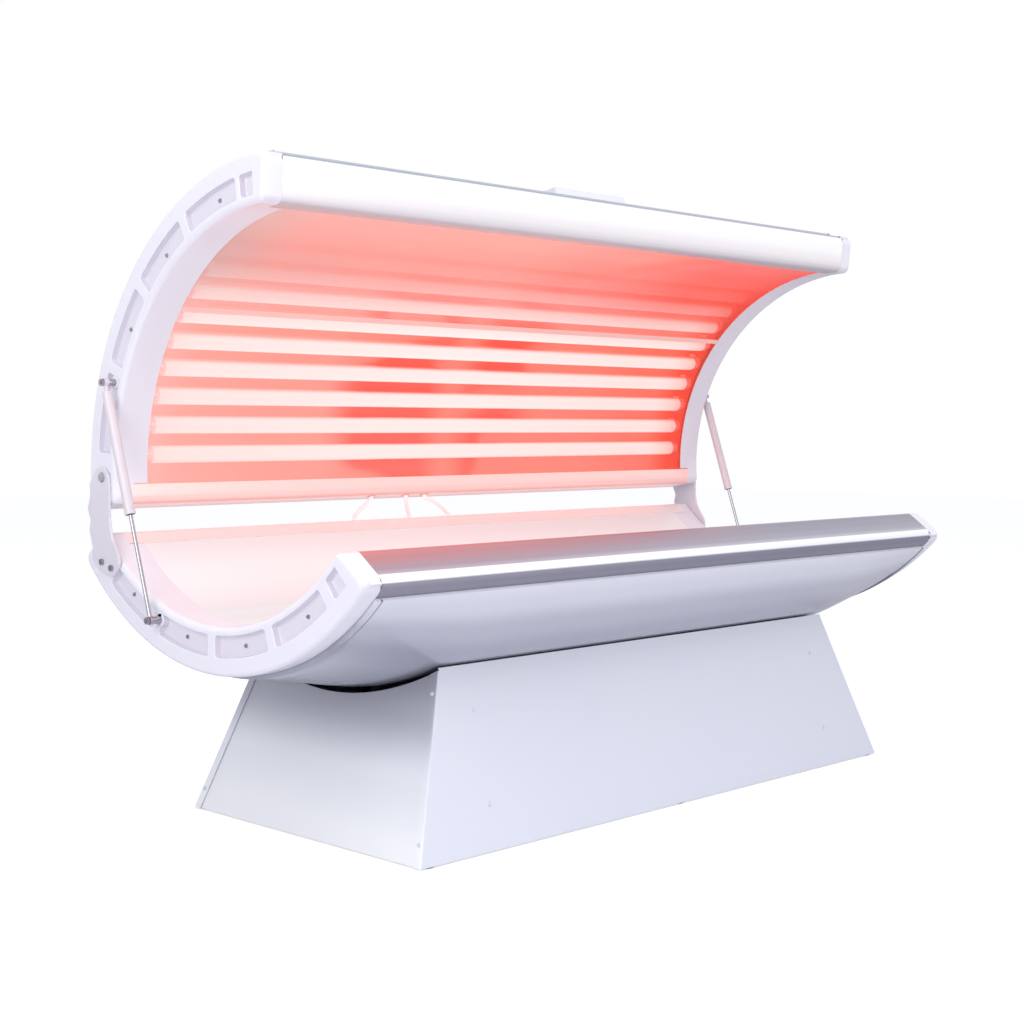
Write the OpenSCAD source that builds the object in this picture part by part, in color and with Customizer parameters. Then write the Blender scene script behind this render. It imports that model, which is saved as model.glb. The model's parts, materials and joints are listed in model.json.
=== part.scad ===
// A collagen bed: a lamp-lined lying trough on a sheet-metal pedestal, with a lamp-lined canopy
// that hangs on two end hinges and is held open by two gas struts.
// X runs along the bed, -Y is the open side that the user sits down on, Z is up from the floor.
// Both halves share one section, drawn about the centre of its curve with its middle straight down;
// an angle there is counted from straight down, positive towards the rear.

/* [Main sizes] */
// Length over the faces of the end caps
body_length = 1940; // [1840:10:2040]
// Radius of the curve that the user lies in, at the inner edge of the caps
lying_r = 514; // [500:1:526]
// Depth of the end caps from their inner edge to their outer edge
cap_depth = 96; // [92:1:104]
// Half of the angle that each half covers, up to its inner corners
arc_half = 46.3; // [45.5:0.1:47]
// Height of the lowest line of the bed's shell above the floor
shell_clear_z = 338.3; // [334:0.5:346]
// Radius that the outer shells stand proud of the end caps
shell_step = 7; // [5:0.5:9]
// Thickness of the outer shells
shell_t = 3; // [2:0.5:3.5]

/* [End caps] */
// Depth of a cap's band along the bed
cap_band = 45; // [40:1:52]
// Thickness of the cap's face, into which the pockets are sunk
cap_face_t = 17; // [16:0.5:20]
// Wall of the moulded caps
cap_wall = 4; // [3:0.5:5]
// Rounding of the cap's edges
cap_round = 8; // [5:0.5:9]
// Radius of the nose's inner corner
nose_in_r = 12; // [10.5:0.5:14]
// Radius of the nose's outer corner
nose_out_r = 30; // [26:1:32]
// Distance of the inner corner's centre past the end of the arc
nose_in_v = 2; // [0:0.5:4]
// Distance of the outer corner's centre past the end of the arc
nose_out_v = -9; // [-10:0.5:-7]
// Depth of the pockets in the cap's face
pocket_depth = 13; // [9:0.5:13.5]
// Distance of the pockets from the cap's inner edge
pocket_in = 14; // [12:1:18]
// Width of the pockets across the cap
pocket_w = 48; // [40:1:52]
// Corner radius of the pockets
pocket_corner = 9; // [5:0.5:12]
// Angle from one rib of the cap to the next
cap_rib_step = 19.6; // [18.5:0.1:20]
// Width of the caps' ribs
cap_rib_w = 20; // [14:1:24]
// Angle by which the pockets of the canopy caps are turned
canopy_pocket_turn = 1.4; // [0:0.1:2]
// Length of the lip that covers the ends of the acrylic
lip_len = 35; // [20:1:45]
// Half of the angle that the lip covers
lip_half = 43.2; // [42:0.1:43.5]
// Radius of the bosses that the studs and the hinge pins stand on
boss_r = 14; // [12:0.5:17]

/* [Edge rails] */
// Sheet of the edge rails and of the caps' lips
rail_t = 2.2; // [1.6:0.1:2.6]
// Angle of the rail's leg over the acrylic
rail_leg_in = 1.6; // [1.4:0.1:2]
// Angle of the rail's leg beside the shell
rail_leg_out = 2.6; // [1.4:0.1:3]

/* [Acrylic] */
// Thickness of the acrylic that the user lies on
bed_acrylic_t = 6; // [5:0.5:7]
// Thickness of the canopy's acrylic
canopy_acrylic_t = 4; // [3:0.5:6]
// Length that the acrylic tucks under each cap's lip
acrylic_tuck = 25; // [15:1:30]
// Width of the strip over the joint of the canopy's two sheets
joint_strip_w = 13; // [10:1:20]

/* [Lamps] */
// Diameter of the lamps
lamp_d = 38; // [34:1:39]
// Length of the lamps without their pins
lamp_len = 1764; // [1700:1:1780]
// Number of lamps in each half
lamp_count = 12; // [8:1:12]
// Angle from one lamp to the next
lamp_pitch = 6.7; // [6.4:0.1:6.9]
// Distance of the lamps' centres behind the caps' inner edge
lamp_inset = 30; // [29:0.5:32]
// Length of the metal caps on the lamps' ends
lamp_cap_len = 14; // [10:1:18]
// Length of a lamp's contact pins
lamp_pin_len = 7; // [5:0.5:9]
// Spacing of a lamp's contact pins
lamp_pin_gap = 12.7; // [10:0.1:14]
// Length of a lamp holder along the lamp
holder_len = 22; // [18:1:24]
// Width of a lamp holder
holder_w = 26; // [22:1:30]
// Distance of the reflector behind the caps' inner edge
reflector_inset = 54; // [53:0.5:56]
// Sheet of the reflectors
reflector_t = 1.5; // [1:0.1:1.8]
// Number of electronic ballasts across the reflector in each of two bays
ballast_rows = 3; // [1:1:3]
// Length of a ballast
ballast_len = 280; // [220:5:290]
// Width of a ballast
ballast_w = 40; // [30:1:50]
// Height of a ballast
ballast_h = 28; // [20:1:32]
// Angle from one ballast to the next
ballast_pitch = 15; // [12:0.5:17]

/* [Structure] */
// Number of curved ribs in each half
rib_count = 6; // [6:2:6]
// Distance from one curved rib to the next
rib_pitch = 320; // [300:5:330]
// Plate of the curved ribs
rib_plate_t = 3; // [2:0.5:4]
// Plate of the end plates inside the caps
end_plate_t = 3; // [2:0.5:4]
// Diameter of the lightening holes in the ribs
rib_hole_d = 22; // [16:1:26]

/* [Hinge and struts] */
// Angle through which the canopy turns from closed to fully open
open_angle = 48.5; // [46:0.5:50]
// Gap between the inner corners of the halves when the canopy is closed
closed_gap = 64.8; // [60:0.2:70]
// Distance by which the closed canopy sits behind the bed's middle
canopy_set_back = 6.8; // [0:0.2:10]
// Height of the hinge pin above the bed's inner corner
hinge_rise = 120.4; // [115:0.2:124]
// Distance of the hinge pin behind the bed's inner corner
hinge_in = 2; // [0:0.5:4]
// Diameter of the hinge pins
hinge_pin_d = 14; // [12:0.5:16]
// Radial running clearance of the pins and studs
running_gap = 0.05; // [0.03:0.01:0.1]
// Thickness of the hinge plates
hinge_plate_t = 6; // [4:0.5:8]
// Diameter of the bolts that hold the hinge plates
hinge_bolt_d = 8; // [6:0.5:10]
// Angle of the strut's stud on the bed's caps
low_stud_a = 18.6; // [17:0.1:20]
// Angle of the strut's stud on the canopy's caps
up_stud_a = -20.7; // [-22:0.1:-19]
// Radius at which both studs stand
strut_stud_r = 543.5; // [538:0.5:548]
// Diameter of the struts' studs
stud_d = 8; // [6:0.5:10]
// Distance of the struts' axis outside the caps' faces
strut_out = 22; // [20:0.5:26]
// Diameter of the struts' cylinders
strut_tube_d = 21.6; // [21:0.2:23]
// Wall of the struts' cylinders
strut_tube_wall = 1.9; // [1.4:0.1:2]
// Diameter of the struts' rods
strut_rod_d = 8; // [7:0.5:8.5]
// Length of rod that shows when the canopy is open
strut_rod_shown = 220; // [190:1:225]
// Length of rod inside the cylinder when the canopy is open
strut_rod_inside = 25; // [20:1:40]
// Outer radius of the struts' eyes
strut_eye_r = 8.5; // [8:0.5:10]
// Width of the struts' eyes
strut_eye_w = 10; // [8:0.5:12]

/* [Pedestal] */
// Height of the pedestal's panels
ped_height = 358.7; // [340:0.5:372]
// Half of the pedestal's length at the floor
ped_half_x = 778.9; // [750:1:800]
// Half of the pedestal's length at its top edge
ped_top_half_x = 652; // [630:1:680]
// Half of the pedestal's depth at the floor
ped_half_y = 365; // [350:1:380]
// Half of the pedestal's depth at its top edge
ped_top_half_y = 277.4; // [265:1:290]
// Distance of the pedestal's middle in front of the bed's middle
ped_forward = 22.7; // [0:0.1:30]
// Sheet of the pedestal's panels
panel_t = 1.5; // [1:0.1:2]
// Width of the flanges that wrap the pedestal's corners
panel_flange = 22; // [18:1:28]
// Gap of the end panels to the shell above them
panel_shell_gap = 8; // [4:1:14]
// Gap of the panels to the floor
panel_floor_gap = 3; // [2:0.5:6]
// Height of the front and rear panels' lower screws
screw_low_z = 91; // [70:1:120]
// Height of the front and rear panels' upper screws
screw_high_z = 270; // [240:1:290]
// Half of the distance between the front panel's screws
screw_half_x = 577; // [540:1:600]
// Side of the frame's square tubes
tube_w = 25; // [20:1:26]
// Half of the distance between the frame's uprights across the bed
upright_half_y = 150; // [140:1:155]
// Diameter of the feet
foot_d = 38; // [30:1:39]
// Height of the feet
foot_h = 12; // [10:0.5:16]
// Width of the cradles that carry the shell
cradle_w = 40; // [30:1:50]
// Half of the angle over which a cradle holds the shell
cradle_half = 12.8; // [10:0.1:13]

/* [Fans and controls] */
// Side of a fan's frame
fan_w = 120; // [110:1:122]
// Depth of a fan's frame
fan_t = 25; // [20:1:27]
// Number of blades on a fan's rotor
fan_blades = 7; // [5:1:9]
// Pitch of the blades
fan_blade_tilt = 32; // [20:1:40]
// Diameter of a fan's hub
fan_hub_d = 44; // [36:1:50]
// Number of rings in a fan's guard
guard_rings = 4; // [3:1:5]
// Length of the control panel's housing
panel_box_l = 236; // [200:2:260]
// Width of the control panel's housing
panel_box_w = 84; // [70:1:88]
// Height of the control panel's housing above the shell
panel_box_h = 20; // [16:1:26]
// Angle of the control panel on the canopy's shell
panel_box_a = 38.6; // [36:0.1:39]
// Length of the control box in the pedestal
supply_box_l = 300; // [240:5:340]
// Depth of the control box
supply_box_w = 180; // [140:5:220]
// Height of the control box
supply_box_h = 90; // [70:2:120]
// Diameter of the leads between the two halves
lead_d = 10; // [8:0.5:10]

/* [Hidden] */

arc_fn = 180;
round_fn = 48;
small_fn = 24;
hex_fn = 6;
seat = 0.3;
joint_gap = 0.2;
past = 1;

half_l = body_length / 2;
cap_r = lying_r + cap_depth;
shell_r = cap_r + shell_step;
axis_z = shell_clear_z + shell_r;
lamp_r = lying_r + lamp_inset;
reflector_r = lying_r + reflector_inset;
reflector_back_r = reflector_r + reflector_t;
wedge_r = 2 * cap_r;
rail_x = half_l - cap_band - seat;
plate_x = half_l - cap_face_t - seat;
pocket_r = lying_r + pocket_in;

// a point of the section at an angle from straight down
function down(a, r) = [r * sin(a), -r * cos(a)];
// a point turned about the section's centre
function turned(p, a) = [p[0] * cos(a) - p[1] * sin(a), p[0] * sin(a) + p[1] * cos(a)];

// the nose: its inner and outer corner circles and the straight face that touches both
nose_lap = 1.3;
nose_in_c = [nose_in_v, -(lying_r + nose_in_r)];
nose_out_c = [nose_out_v, -(cap_r - nose_out_r)];
nose_span = norm(nose_out_c - nose_in_c);
nose_e = (nose_out_c - nose_in_c) / nose_span;
nose_k = (nose_in_r - nose_out_r) / nose_span;
nose_n = nose_k * nose_e + sqrt(1 - nose_k * nose_k) * [-nose_e[1], nose_e[0]];

// the canopy: its section's centre when closed and when open, and the hinge pin, in Y and Z
corner_y = lying_r * sin(arc_half);
corner_drop = lying_r * cos(arc_half);
hinge_p = [corner_y + hinge_in, axis_z - corner_drop + hinge_rise];
closed_c = [canopy_set_back, axis_z - 2 * corner_drop + closed_gap];
open_c = hinge_p + turned(closed_c - hinge_p, -open_angle);
canopy_turn = 180 - open_angle;
hinge_bed = hinge_p - [0, axis_z];
hinge_canopy = turned(hinge_p - open_c, -canopy_turn);

// the gas struts, in Y and Z
low_stud = down(low_stud_a, strut_stud_r);
up_stud = down(up_stud_a, strut_stud_r);
low_p = [0, axis_z] + low_stud;
up_p = open_c + turned(up_stud, canopy_turn);
strut_len = norm(up_p - low_p);
strut_dir = atan2(up_p[1] - low_p[1], up_p[0] - low_p[0]);
strut_x = half_l + strut_out;

// the hinge plates: lobes of the outline as [y, z, radius] and the front edge, from the hinge pin
plate_lobes = [[2, -5, 23], [22, -16, 26], [27, -72, 31], [22, -112, 30], [12, -168, 30], [-34, -179, 27]];
plate_edge = [[-22, 0], [-26, -24], [-25, -86], [-31, -118], [-58, -158], [-60, -184], [-34, -206],
    [12, -198], [40, -176], [44, -110], [48, -70], [44, -20]];
hinge_bolt_p = [[0.8, -175.5], [-34.6, -186.5]];

// the three leads across the gap between the halves: the free part of each in X, Y and Z
lead_middles = [
    [[-258, 358, 643], [-262, 371, 630], [-267, 396, 619], [-270, 411, 609]],
    [[-141, 358, 643], [-130, 374, 632], [-110, 398, 622], [-93, 411, 611]],
    [[-76, 360, 645], [-54, 375, 638], [-16, 395, 630], [22, 410, 619], [41, 413, 610]]];
lead_inside = 8;
lead_outside = 5;
lead_sides = 8;
lead_top_x = [-256, -146, -85];
lead_low_x = [-270, -88, 46];
lead_face_share = 0.3;

rib_x = [for (i = [0:rib_count - 1]) (i - (rib_count - 1) / 2) * rib_pitch];
lamp_a = [for (i = [0:lamp_count - 1]) (i - (lamp_count - 1) / 2) * lamp_pitch];
cap_rib_a = [-2, -1, 0, 1, 2] * cap_rib_step;
cap_screw_a = [-31, -10, 10, 31];
end_pocket_a = 43.1;
end_pocket_half = 2.6;

module on_bed() translate([0, 0, axis_z]) children();
module on_canopy() translate([0, open_c[0], open_c[1]]) rotate([canopy_turn, 0, 0]) children();
// extrudes a section drawn in Y and Z along the bed
module along(x0, x1) translate([x0, 0, 0]) rotate([90, 0, 90]) linear_extrude(x1 - x0) children();
// turns a profile of radius and X about the section's centre
module spin(a0, a1) rotate([0, 90, 0]) rotate([0, 0, a0]) rotate_extrude(angle = a1 - a0, $fn = arc_fn)
    children();
// places a piece on the section at an angle, with -Z pointing outwards
module at_angle(a) rotate([a, 0, 0]) children();
module at_left(left) mirror([left ? 0 : 1, 0, 0]) translate([-half_l, 0, 0]) children();

module wedge2d(a0, a1) polygon(concat([[0, 0]], [for (i = [0:4]) down(a0 + (a1 - a0) * i / 4, wedge_r)]));

module arc2d(r0, r1, a0, a1) intersection() {
    difference() {
        circle(r1, $fn = arc_fn);
        circle(r0, $fn = arc_fn);
    }
    wedge2d(a0, a1);
}

nose_steps = 8;
nose_a = atan2(nose_n[1], nose_n[0]);
function arc_points(c, r, a0, a1) = [for (i = [0:nose_steps]) let (a = a0 + (a1 - a0) * i / nose_steps)
    c + r * [cos(a), sin(a)]];
function turned_back(list) = [for (i = [len(list) - 1:-1:0]) list[i]];
// the nose's curve from the inner edge round to the outer edge, drawn in by inset
function nose_curve(inset) = concat(arc_points(nose_in_c, nose_in_r - inset, 90, nose_a),
    arc_points(nose_out_c, nose_out_r - inset, nose_a, -90));
nose_tongue = 0.5;
nose_step = 0.05;
lip_step = 0.1;
tongue_in = 3;
// the rear nose of the section, with a tongue that reaches into the arc
module nose2d(inset, tongue = nose_tongue) rotate(arc_half) polygon(concat(
    [down(-nose_lap - tongue, lying_r + inset + tongue_in), down(-nose_lap, lying_r + inset)],
    nose_curve(inset),
    [down(-nose_lap, cap_r - inset), down(-nose_lap - tongue, cap_r - inset - tongue_in)]));

module both_ends() {
    children();
    mirror([0, 1, 0]) children();
}

module both_noses2d(inset, tongue = nose_tongue) {
    nose2d(inset, tongue);
    mirror([1, 0]) nose2d(inset, tongue);
}

module section2d(inset) {
    arc2d(lying_r + inset, cap_r - inset, -arc_half + nose_lap, arc_half - nose_lap);
    both_noses2d(inset);
}

pocket_fn = 90;
// an arc with rounded corners, for the pockets
module pocket2d(r0, r1, a0, a1, corner) {
    turn = asin(corner / (r0 + corner));
    offset(r = corner, $fn = small_fn) intersection() {
        difference() {
            circle(r1 - corner, $fn = pocket_fn);
            circle(r0 + corner, $fn = pocket_fn);
        }
        wedge2d(a0 + turn, a1 - turn);
    }
}

// one end cap, its face at X = 0 and its open side towards +X
module end_cap(pocket_turn, stud_at, stud_hole, bolt_at, bolt_hole) {
    arc_end = arc_half - nose_lap;
    rib_turn = asin(cap_rib_w / 2 / (pocket_r + pocket_w / 2));
    difference() {
        union() {
            spin(-arc_end, arc_end) cap_profile();
            spin(-lip_half, lip_half) translate([lying_r + lip_step, cap_face_t])
                square([rail_t, cap_band - cap_face_t + lip_len]);
            both_ends() cap_nose();
        }
        both_ends() along(cap_face_t, cap_band + past) nose2d(cap_wall + nose_step, 2 * nose_tongue);
        along(-past, pocket_depth) difference() {
            union() {
                for (i = [0:len(cap_rib_a) - 2])
                    pocket2d(pocket_r, pocket_r + pocket_w, cap_rib_a[i] + rib_turn + pocket_turn,
                        cap_rib_a[i + 1] - rib_turn + pocket_turn, pocket_corner);
                for (a = [-end_pocket_a, end_pocket_a]) pocket2d(pocket_r, pocket_r + pocket_w,
                    a - end_pocket_half, a + end_pocket_half, pocket_corner);
            }
            translate(stud_at) circle(boss_r, $fn = round_fn);
            for (p = bolt_at) translate(p) circle(bolt_hole + boss_r / 2, $fn = round_fn);
        }
        for (a = cap_screw_a) along(-past, cap_face_t + past)
            translate(down(a + pocket_turn, pocket_r + pocket_w / 2))
                circle(screw_d / 2 + joint_gap, $fn = small_fn);
        along(-past, cap_face_t + past) translate(stud_at) circle(stud_hole, $fn = round_fn);
        along(-past, cap_face_t + past) for (p = bolt_at) translate(p) circle(bolt_hole, $fn = round_fn);
    }
}

// section of a cap's arc: rounded face, two bands and the hollow behind the face
module cap_profile() {
    translate([lying_r, cap_round]) square([cap_wall, cap_band - cap_round]);
    translate([cap_r - cap_wall, cap_round]) square([cap_wall, cap_band - cap_round]);
    translate([lying_r, cap_round]) square([cap_depth, cap_face_t - cap_round]);
    translate([lying_r + cap_round, 0]) square([cap_depth - 2 * cap_round, cap_round]);
    for (r = [lying_r + cap_round, cap_r - cap_round]) translate([r, cap_round])
        circle(cap_round, $fn = round_fn);
}

// the solid nose at the rear end of a cap, rounded towards the face
module cap_nose() {
    bend = cap_round * (1 - cos(45));
    hull() {
        along(joint_gap, bend / 2) nose2d(cap_round + nose_step);
        along(bend, cap_round) nose2d(bend + nose_step);
        along(cap_round, cap_band - nose_step) nose2d(nose_step);
    }
}

screw_d = 5;
screw_head_r = 4.6;
screw_head_h = 2.6;
cap_screw_len = 14;
panel_screw_len = 8;
screw_dome = 0.8;
// a pan-head screw along +X, its head's underside at X = 0
module screw(length) {
    rotate([0, 90, 0]) cylinder(r = screw_d / 2, h = length, $fn = small_fn);
    rotate([0, -90, 0]) difference() {
        cylinder(r1 = screw_head_r, r2 = screw_head_r * screw_dome, h = screw_head_h, $fn = small_fn);
        translate([0, 0, screw_head_h / 2]) cylinder(r = screw_d / 3, h = screw_head_h, $fn = hex_fn);
    }
}

module cap_screws(pocket_turn) for (left = [true, false], a = cap_screw_a) at_left(left)
    translate(concat([pocket_depth - joint_gap], down(a + pocket_turn, pocket_r + pocket_w / 2)))
        screw(cap_screw_len);

bead_w = 7;
bead_h = 1.2;
bead_gap = 5;
shell_edge = 1.4;
shell_end = arc_half - shell_edge;
// one outer shell with the raised bead at each end and the hole over the fan
module half_shell() difference() {
    union() {
        along(-rail_x, rail_x) arc2d(shell_r - shell_t, shell_r, -shell_end, shell_end);
        for (left = [true, false]) at_left(left) along(cap_band + bead_gap, cap_band + bead_gap + bead_w)
            arc2d(shell_r - shell_t / 2, shell_r + bead_h, -shell_end, shell_end);
    }
    translate([0, 0, -shell_r - 2 * shell_t]) cylinder(r = fan_bore_r, h = 4 * shell_t, $fn = round_fn);
}

leg_steps = 3;
function leg_points(r, leg) = [for (i = [0:leg_steps])
    down(-nose_lap - leg * (1 - i / leg_steps), r)];
// the rail's section: a skin round the nose with a leg over the acrylic and one beside the shell
module rail2d() rotate(arc_half) polygon(concat(leg_points(lying_r, rail_leg_in), nose_curve(0),
    turned_back(leg_points(cap_r, rail_leg_out)), leg_points(cap_r - rail_t, rail_leg_out),
    turned_back(nose_curve(rail_t)), turned_back(leg_points(lying_r + rail_t, rail_leg_in))));

// the rail that closes one long edge of a half, at the rear nose
module edge_rail(hole_x) difference() {
    along(-rail_x, rail_x) rail2d();
    for (x = hole_x) on_nose_face(x)
        cylinder(r = grommet_r + joint_gap, h = 4 * rail_t, center = true, $fn = small_fn);
}

nose_face_in = nose_in_c + nose_in_r * nose_n;
nose_face_out = nose_out_c + nose_out_r * nose_n;
lead_p = nose_face_in + lead_face_share * (nose_face_out - nose_face_in);
// places a piece on the nose's straight face, with +Z pointing out of it
module on_nose_face(x) translate([x, 0, 0]) rotate([arc_half, 0, 0])
    translate([0, lead_p[0], lead_p[1]]) rotate([-atan2(nose_n[0], nose_n[1]), 0, 0]) children();
// a point on a lead's hole, off the face by out, for the bed's rear rail and for the canopy's lower rail
function low_hole(x, out) = concat([x], [0, axis_z] + turned(lead_p + out * nose_n, arc_half));
function top_hole(x, out) = let (p = turned(lead_p + out * nose_n, arc_half))
    concat([x], open_c + turned([-p[0], p[1]], canopy_turn));
lead_routes = [for (i = [0:len(lead_middles) - 1]) concat(
    [top_hole(lead_top_x[i], -lead_inside), top_hole(lead_top_x[i], lead_outside)],
    lead_middles[i],
    [low_hole(lead_low_x[i], lead_outside), low_hole(lead_low_x[i], -lead_inside)])];

rib_out_r = shell_r - shell_t - seat;
rib_end = arc_half - nose_lap - rail_leg_out - seat;
rib_tongue = 0.1;
rib_hole_a = [-35:10:35];
// the curved ribs with their lightening holes; their noses fill the edge rails
module half_ribs() for (x = rib_x) along(x - rib_plate_t / 2, x + rib_plate_t / 2) difference() {
    union() {
        arc2d(reflector_back_r + seat, rib_out_r, -rib_end, rib_end);
        arc2d(reflector_back_r + seat, cap_r - rail_t - seat, -arc_half + nose_lap - seat,
            arc_half - nose_lap + seat);
        both_noses2d(rail_t + seat, rib_tongue);
    }
    for (a = rib_hole_a) translate(down(a, (reflector_back_r + rib_out_r) / 2))
        circle(d = rib_hole_d, $fn = small_fn);
}

plate_inset = cap_wall + 1;
// the steel plate behind a cap's face, at the left end
module end_plate(pocket_turn, stud_at, bolt_at, bolt_r) difference() {
    along(cap_face_t + seat, cap_face_t + seat + end_plate_t) section2d(plate_inset);
    along(0, cap_band) translate(stud_at) circle(stud_d / 2 + joint_gap, $fn = small_fn);
    along(0, cap_band) for (p = bolt_at) translate(p) circle(bolt_r, $fn = round_fn);
    for (a = cap_screw_a) along(0, cap_band) translate(down(a + pocket_turn, pocket_r + pocket_w / 2))
        circle(screw_d / 2 + joint_gap, $fn = small_fn);
}

reflector_edge = 2.6;
reflector_end = arc_half - reflector_edge;
reflector_x = plate_x - end_plate_t - seat;
module half_reflector() difference() {
    along(-reflector_x, reflector_x) arc2d(reflector_r, reflector_back_r, -reflector_end, reflector_end);
    for (x = [-fan_w, fan_w]) translate([x, 0, -reflector_back_r - past])
        cylinder(d = rib_hole_d, h = 4 * reflector_t, $fn = small_fn);
}

lamp_wall = 1.2;
lamp_cap_step = 0.8;
lamp_pin_d = 2.4;
// the lamps: hollow tubes with a solid cap and two contact pins at each end
module half_lamps() for (a = lamp_a) at_angle(a) translate([0, 0, -lamp_r]) rotate([0, 90, 0]) {
    difference() {
        cylinder(d = lamp_d, h = lamp_len - 2 * lamp_cap_len, center = true, $fn = round_fn);
        cylinder(d = lamp_d - 2 * lamp_wall, h = lamp_len - 2 * lamp_cap_len + past, center = true,
            $fn = round_fn);
    }
    for (s = [-1, 1]) rotate([0, 90 - 90 * s, 0]) translate([0, 0, lamp_len / 2 - lamp_cap_len]) {
        cylinder(d = lamp_d - 2 * lamp_cap_step, h = lamp_cap_len, $fn = round_fn);
        for (y = [-lamp_pin_gap / 2, lamp_pin_gap / 2]) translate([0, y, 0])
            cylinder(d = lamp_pin_d, h = lamp_cap_len + lamp_pin_len, $fn = small_fn);
    }
}

holder_foot_out = 4;
holder_foot_t = 3;
holder_nose = 0.6;
holder_slot = lamp_pin_len + 1;
// the holders stand on the reflector and take the lamps' pins in a slot
module half_lamp_holders() for (a = lamp_a, s = [0, 1]) at_angle(a) mirror([s, 0, 0])
    translate([lamp_len / 2 + joint_gap, 0, 0]) difference() {
        union() {
            translate([0, -holder_w / 2, -reflector_r + seat])
                cube([holder_len, holder_w, reflector_r - lamp_r]);
            translate([0, 0, -lamp_r]) rotate([0, 90, 0])
                cylinder(d = holder_w, h = holder_len * holder_nose, $fn = round_fn);
            translate([0, -holder_w / 2 - holder_foot_out, -reflector_r + seat])
                cube([holder_len, holder_w + 2 * holder_foot_out, holder_foot_t]);
        }
        translate([-past, -lamp_pin_gap / 2 - lamp_pin_d, -lamp_r - lamp_pin_d])
            cube([holder_slot + past, lamp_pin_gap + 2 * lamp_pin_d, 2 * lamp_pin_d]);
        translate([-past, -lamp_pin_d, -lamp_r]) cube([holder_slot + past, 2 * lamp_pin_d, holder_w]);
    }

ballast_foot = 10;
ballast_foot_t = 1.6;
// the ballasts are screwed to the back of the reflector between the ribs
module half_ballasts() for (x = [-rib_pitch, rib_pitch], i = [0:ballast_rows - 1])
    at_angle((i - (ballast_rows - 1) / 2) * ballast_pitch) translate([x, 0, -reflector_back_r - seat]) {
        translate([-ballast_len / 2 + ballast_foot, -ballast_w / 2, -ballast_h])
            cube([ballast_len - 2 * ballast_foot, ballast_w, ballast_h]);
        difference() {
            translate([-ballast_len / 2, -ballast_w / 2, -ballast_foot_t])
                cube([ballast_len, ballast_w, ballast_foot_t]);
            for (s = [-1, 1]) translate([s * (ballast_len - ballast_foot) / 2, 0, -2 * ballast_foot_t])
                cylinder(d = screw_d, h = 3 * ballast_foot_t, $fn = small_fn);
        }
    }

fan_bore_r = fan_w / 2 - 3;
fan_corner = 6;
fan_hole_in = 7.5;
fan_hole_d = 4.4;
fan_shaft_r = 2.5;
fan_shaft_len = 14;
fan_plate_t = 3;
fan_arm_w = 5;
fan_z = -sqrt(pow(shell_r - shell_t - seat, 2) - pow(fan_w / 2, 2));
// a fan's frame, its outer side at Z = fan_z and its depth towards +Z
module fan_frame() translate([0, 0, fan_z]) {
    difference() {
        union() {
            translate([-fan_w / 2, -fan_w / 2 + fan_corner, 0]) cube([fan_w, fan_w - 2 * fan_corner, fan_t]);
            translate([-fan_w / 2 + fan_corner, -fan_w / 2, 0]) cube([fan_w - 2 * fan_corner, fan_w, fan_t]);
            for (x = [-1, 1], y = [-1, 1]) translate([x, y, 0] * (fan_w / 2 - fan_corner))
                cylinder(r = fan_corner, h = fan_t, $fn = small_fn);
        }
        translate([0, 0, -past]) cylinder(r = fan_bore_r, h = fan_t + 2 * past, $fn = round_fn);
        for (x = [-1, 1], y = [-1, 1]) translate([x, y, 0] * (fan_w / 2 - fan_hole_in)) translate([0, 0, -past])
            cylinder(d = fan_hole_d, h = fan_t + 2 * past, $fn = small_fn);
    }
    translate([0, 0, fan_t - fan_plate_t]) {
        cylinder(d = fan_hub_d, h = fan_plate_t, $fn = round_fn);
        for (a = [45:90:315]) rotate([0, 0, a]) translate([fan_hub_d / 2 - past, -fan_arm_w / 2, 0])
            cube([fan_bore_r - fan_hub_d / 2 + 2 * past, fan_arm_w, fan_plate_t]);
    }
    translate([0, 0, fan_t - fan_shaft_len])
        cylinder(r = fan_shaft_r, h = fan_shaft_len - past, $fn = small_fn);
}

fan_tip_gap = 2;
rotor_gap = 1;
rotor_h = 16;
rotor_bore = 13;
blade_chord = 28;
blade_t = 1.6;
// a fan's rotor: hub and pitched blades, turning on the frame's shaft
module fan_rotor() translate([0, 0, fan_z + fan_t - fan_plate_t - rotor_gap - rotor_h]) difference() {
    union() {
        cylinder(d = fan_hub_d, h = rotor_h, $fn = round_fn);
        intersection() {
            for (i = [0:fan_blades - 1]) rotate([0, 0, i * 360 / fan_blades])
                translate([fan_hub_d / 2 - 3 * past, 0, rotor_h / 2]) rotate([fan_blade_tilt, 0, 0])
                    translate([0, -blade_chord / 2, -blade_t / 2]) cube([fan_bore_r, blade_chord, blade_t]);
            cylinder(r = fan_bore_r - fan_tip_gap, h = rotor_h, $fn = round_fn);
        }
    }
    translate([0, 0, rotor_h - rotor_bore])
        cylinder(r = fan_shaft_r + running_gap, h = rotor_bore + past, $fn = small_fn);
}

guard_t = 2.4;
guard_bar = 3.6;
guard_rim = 6;
slot_steps = 6;
slot_turn = 60;
function slot_arc(r, a0, a1) = [for (k = [0:slot_steps]) let (a = a0 + (a1 - a0) * k / slot_steps)
    r * [cos(a), sin(a)]];
guard_step = fan_bore_r / (guard_rings + 1);
// the guard outside the shell over the fan: a disc with curved slots between its rings and spokes
module fan_guard() translate([0, 0, -shell_r - joint_gap - guard_t]) linear_extrude(guard_t) difference() {
    circle(fan_bore_r + guard_rim, $fn = round_fn);
    for (i = [1:guard_rings], a = [0:slot_turn:359]) {
        r0 = i * guard_step + guard_bar / 2;
        r1 = (i + 1) * guard_step - guard_bar / 2;
        gap0 = asin(guard_bar / 2 / r0);
        gap1 = asin(guard_bar / 2 / r1);
        polygon(concat(slot_arc(r0, a + gap0, a + slot_turn - gap0),
            turned_back(slot_arc(r1, a + gap1, a + slot_turn - gap1))));
    }
}

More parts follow.
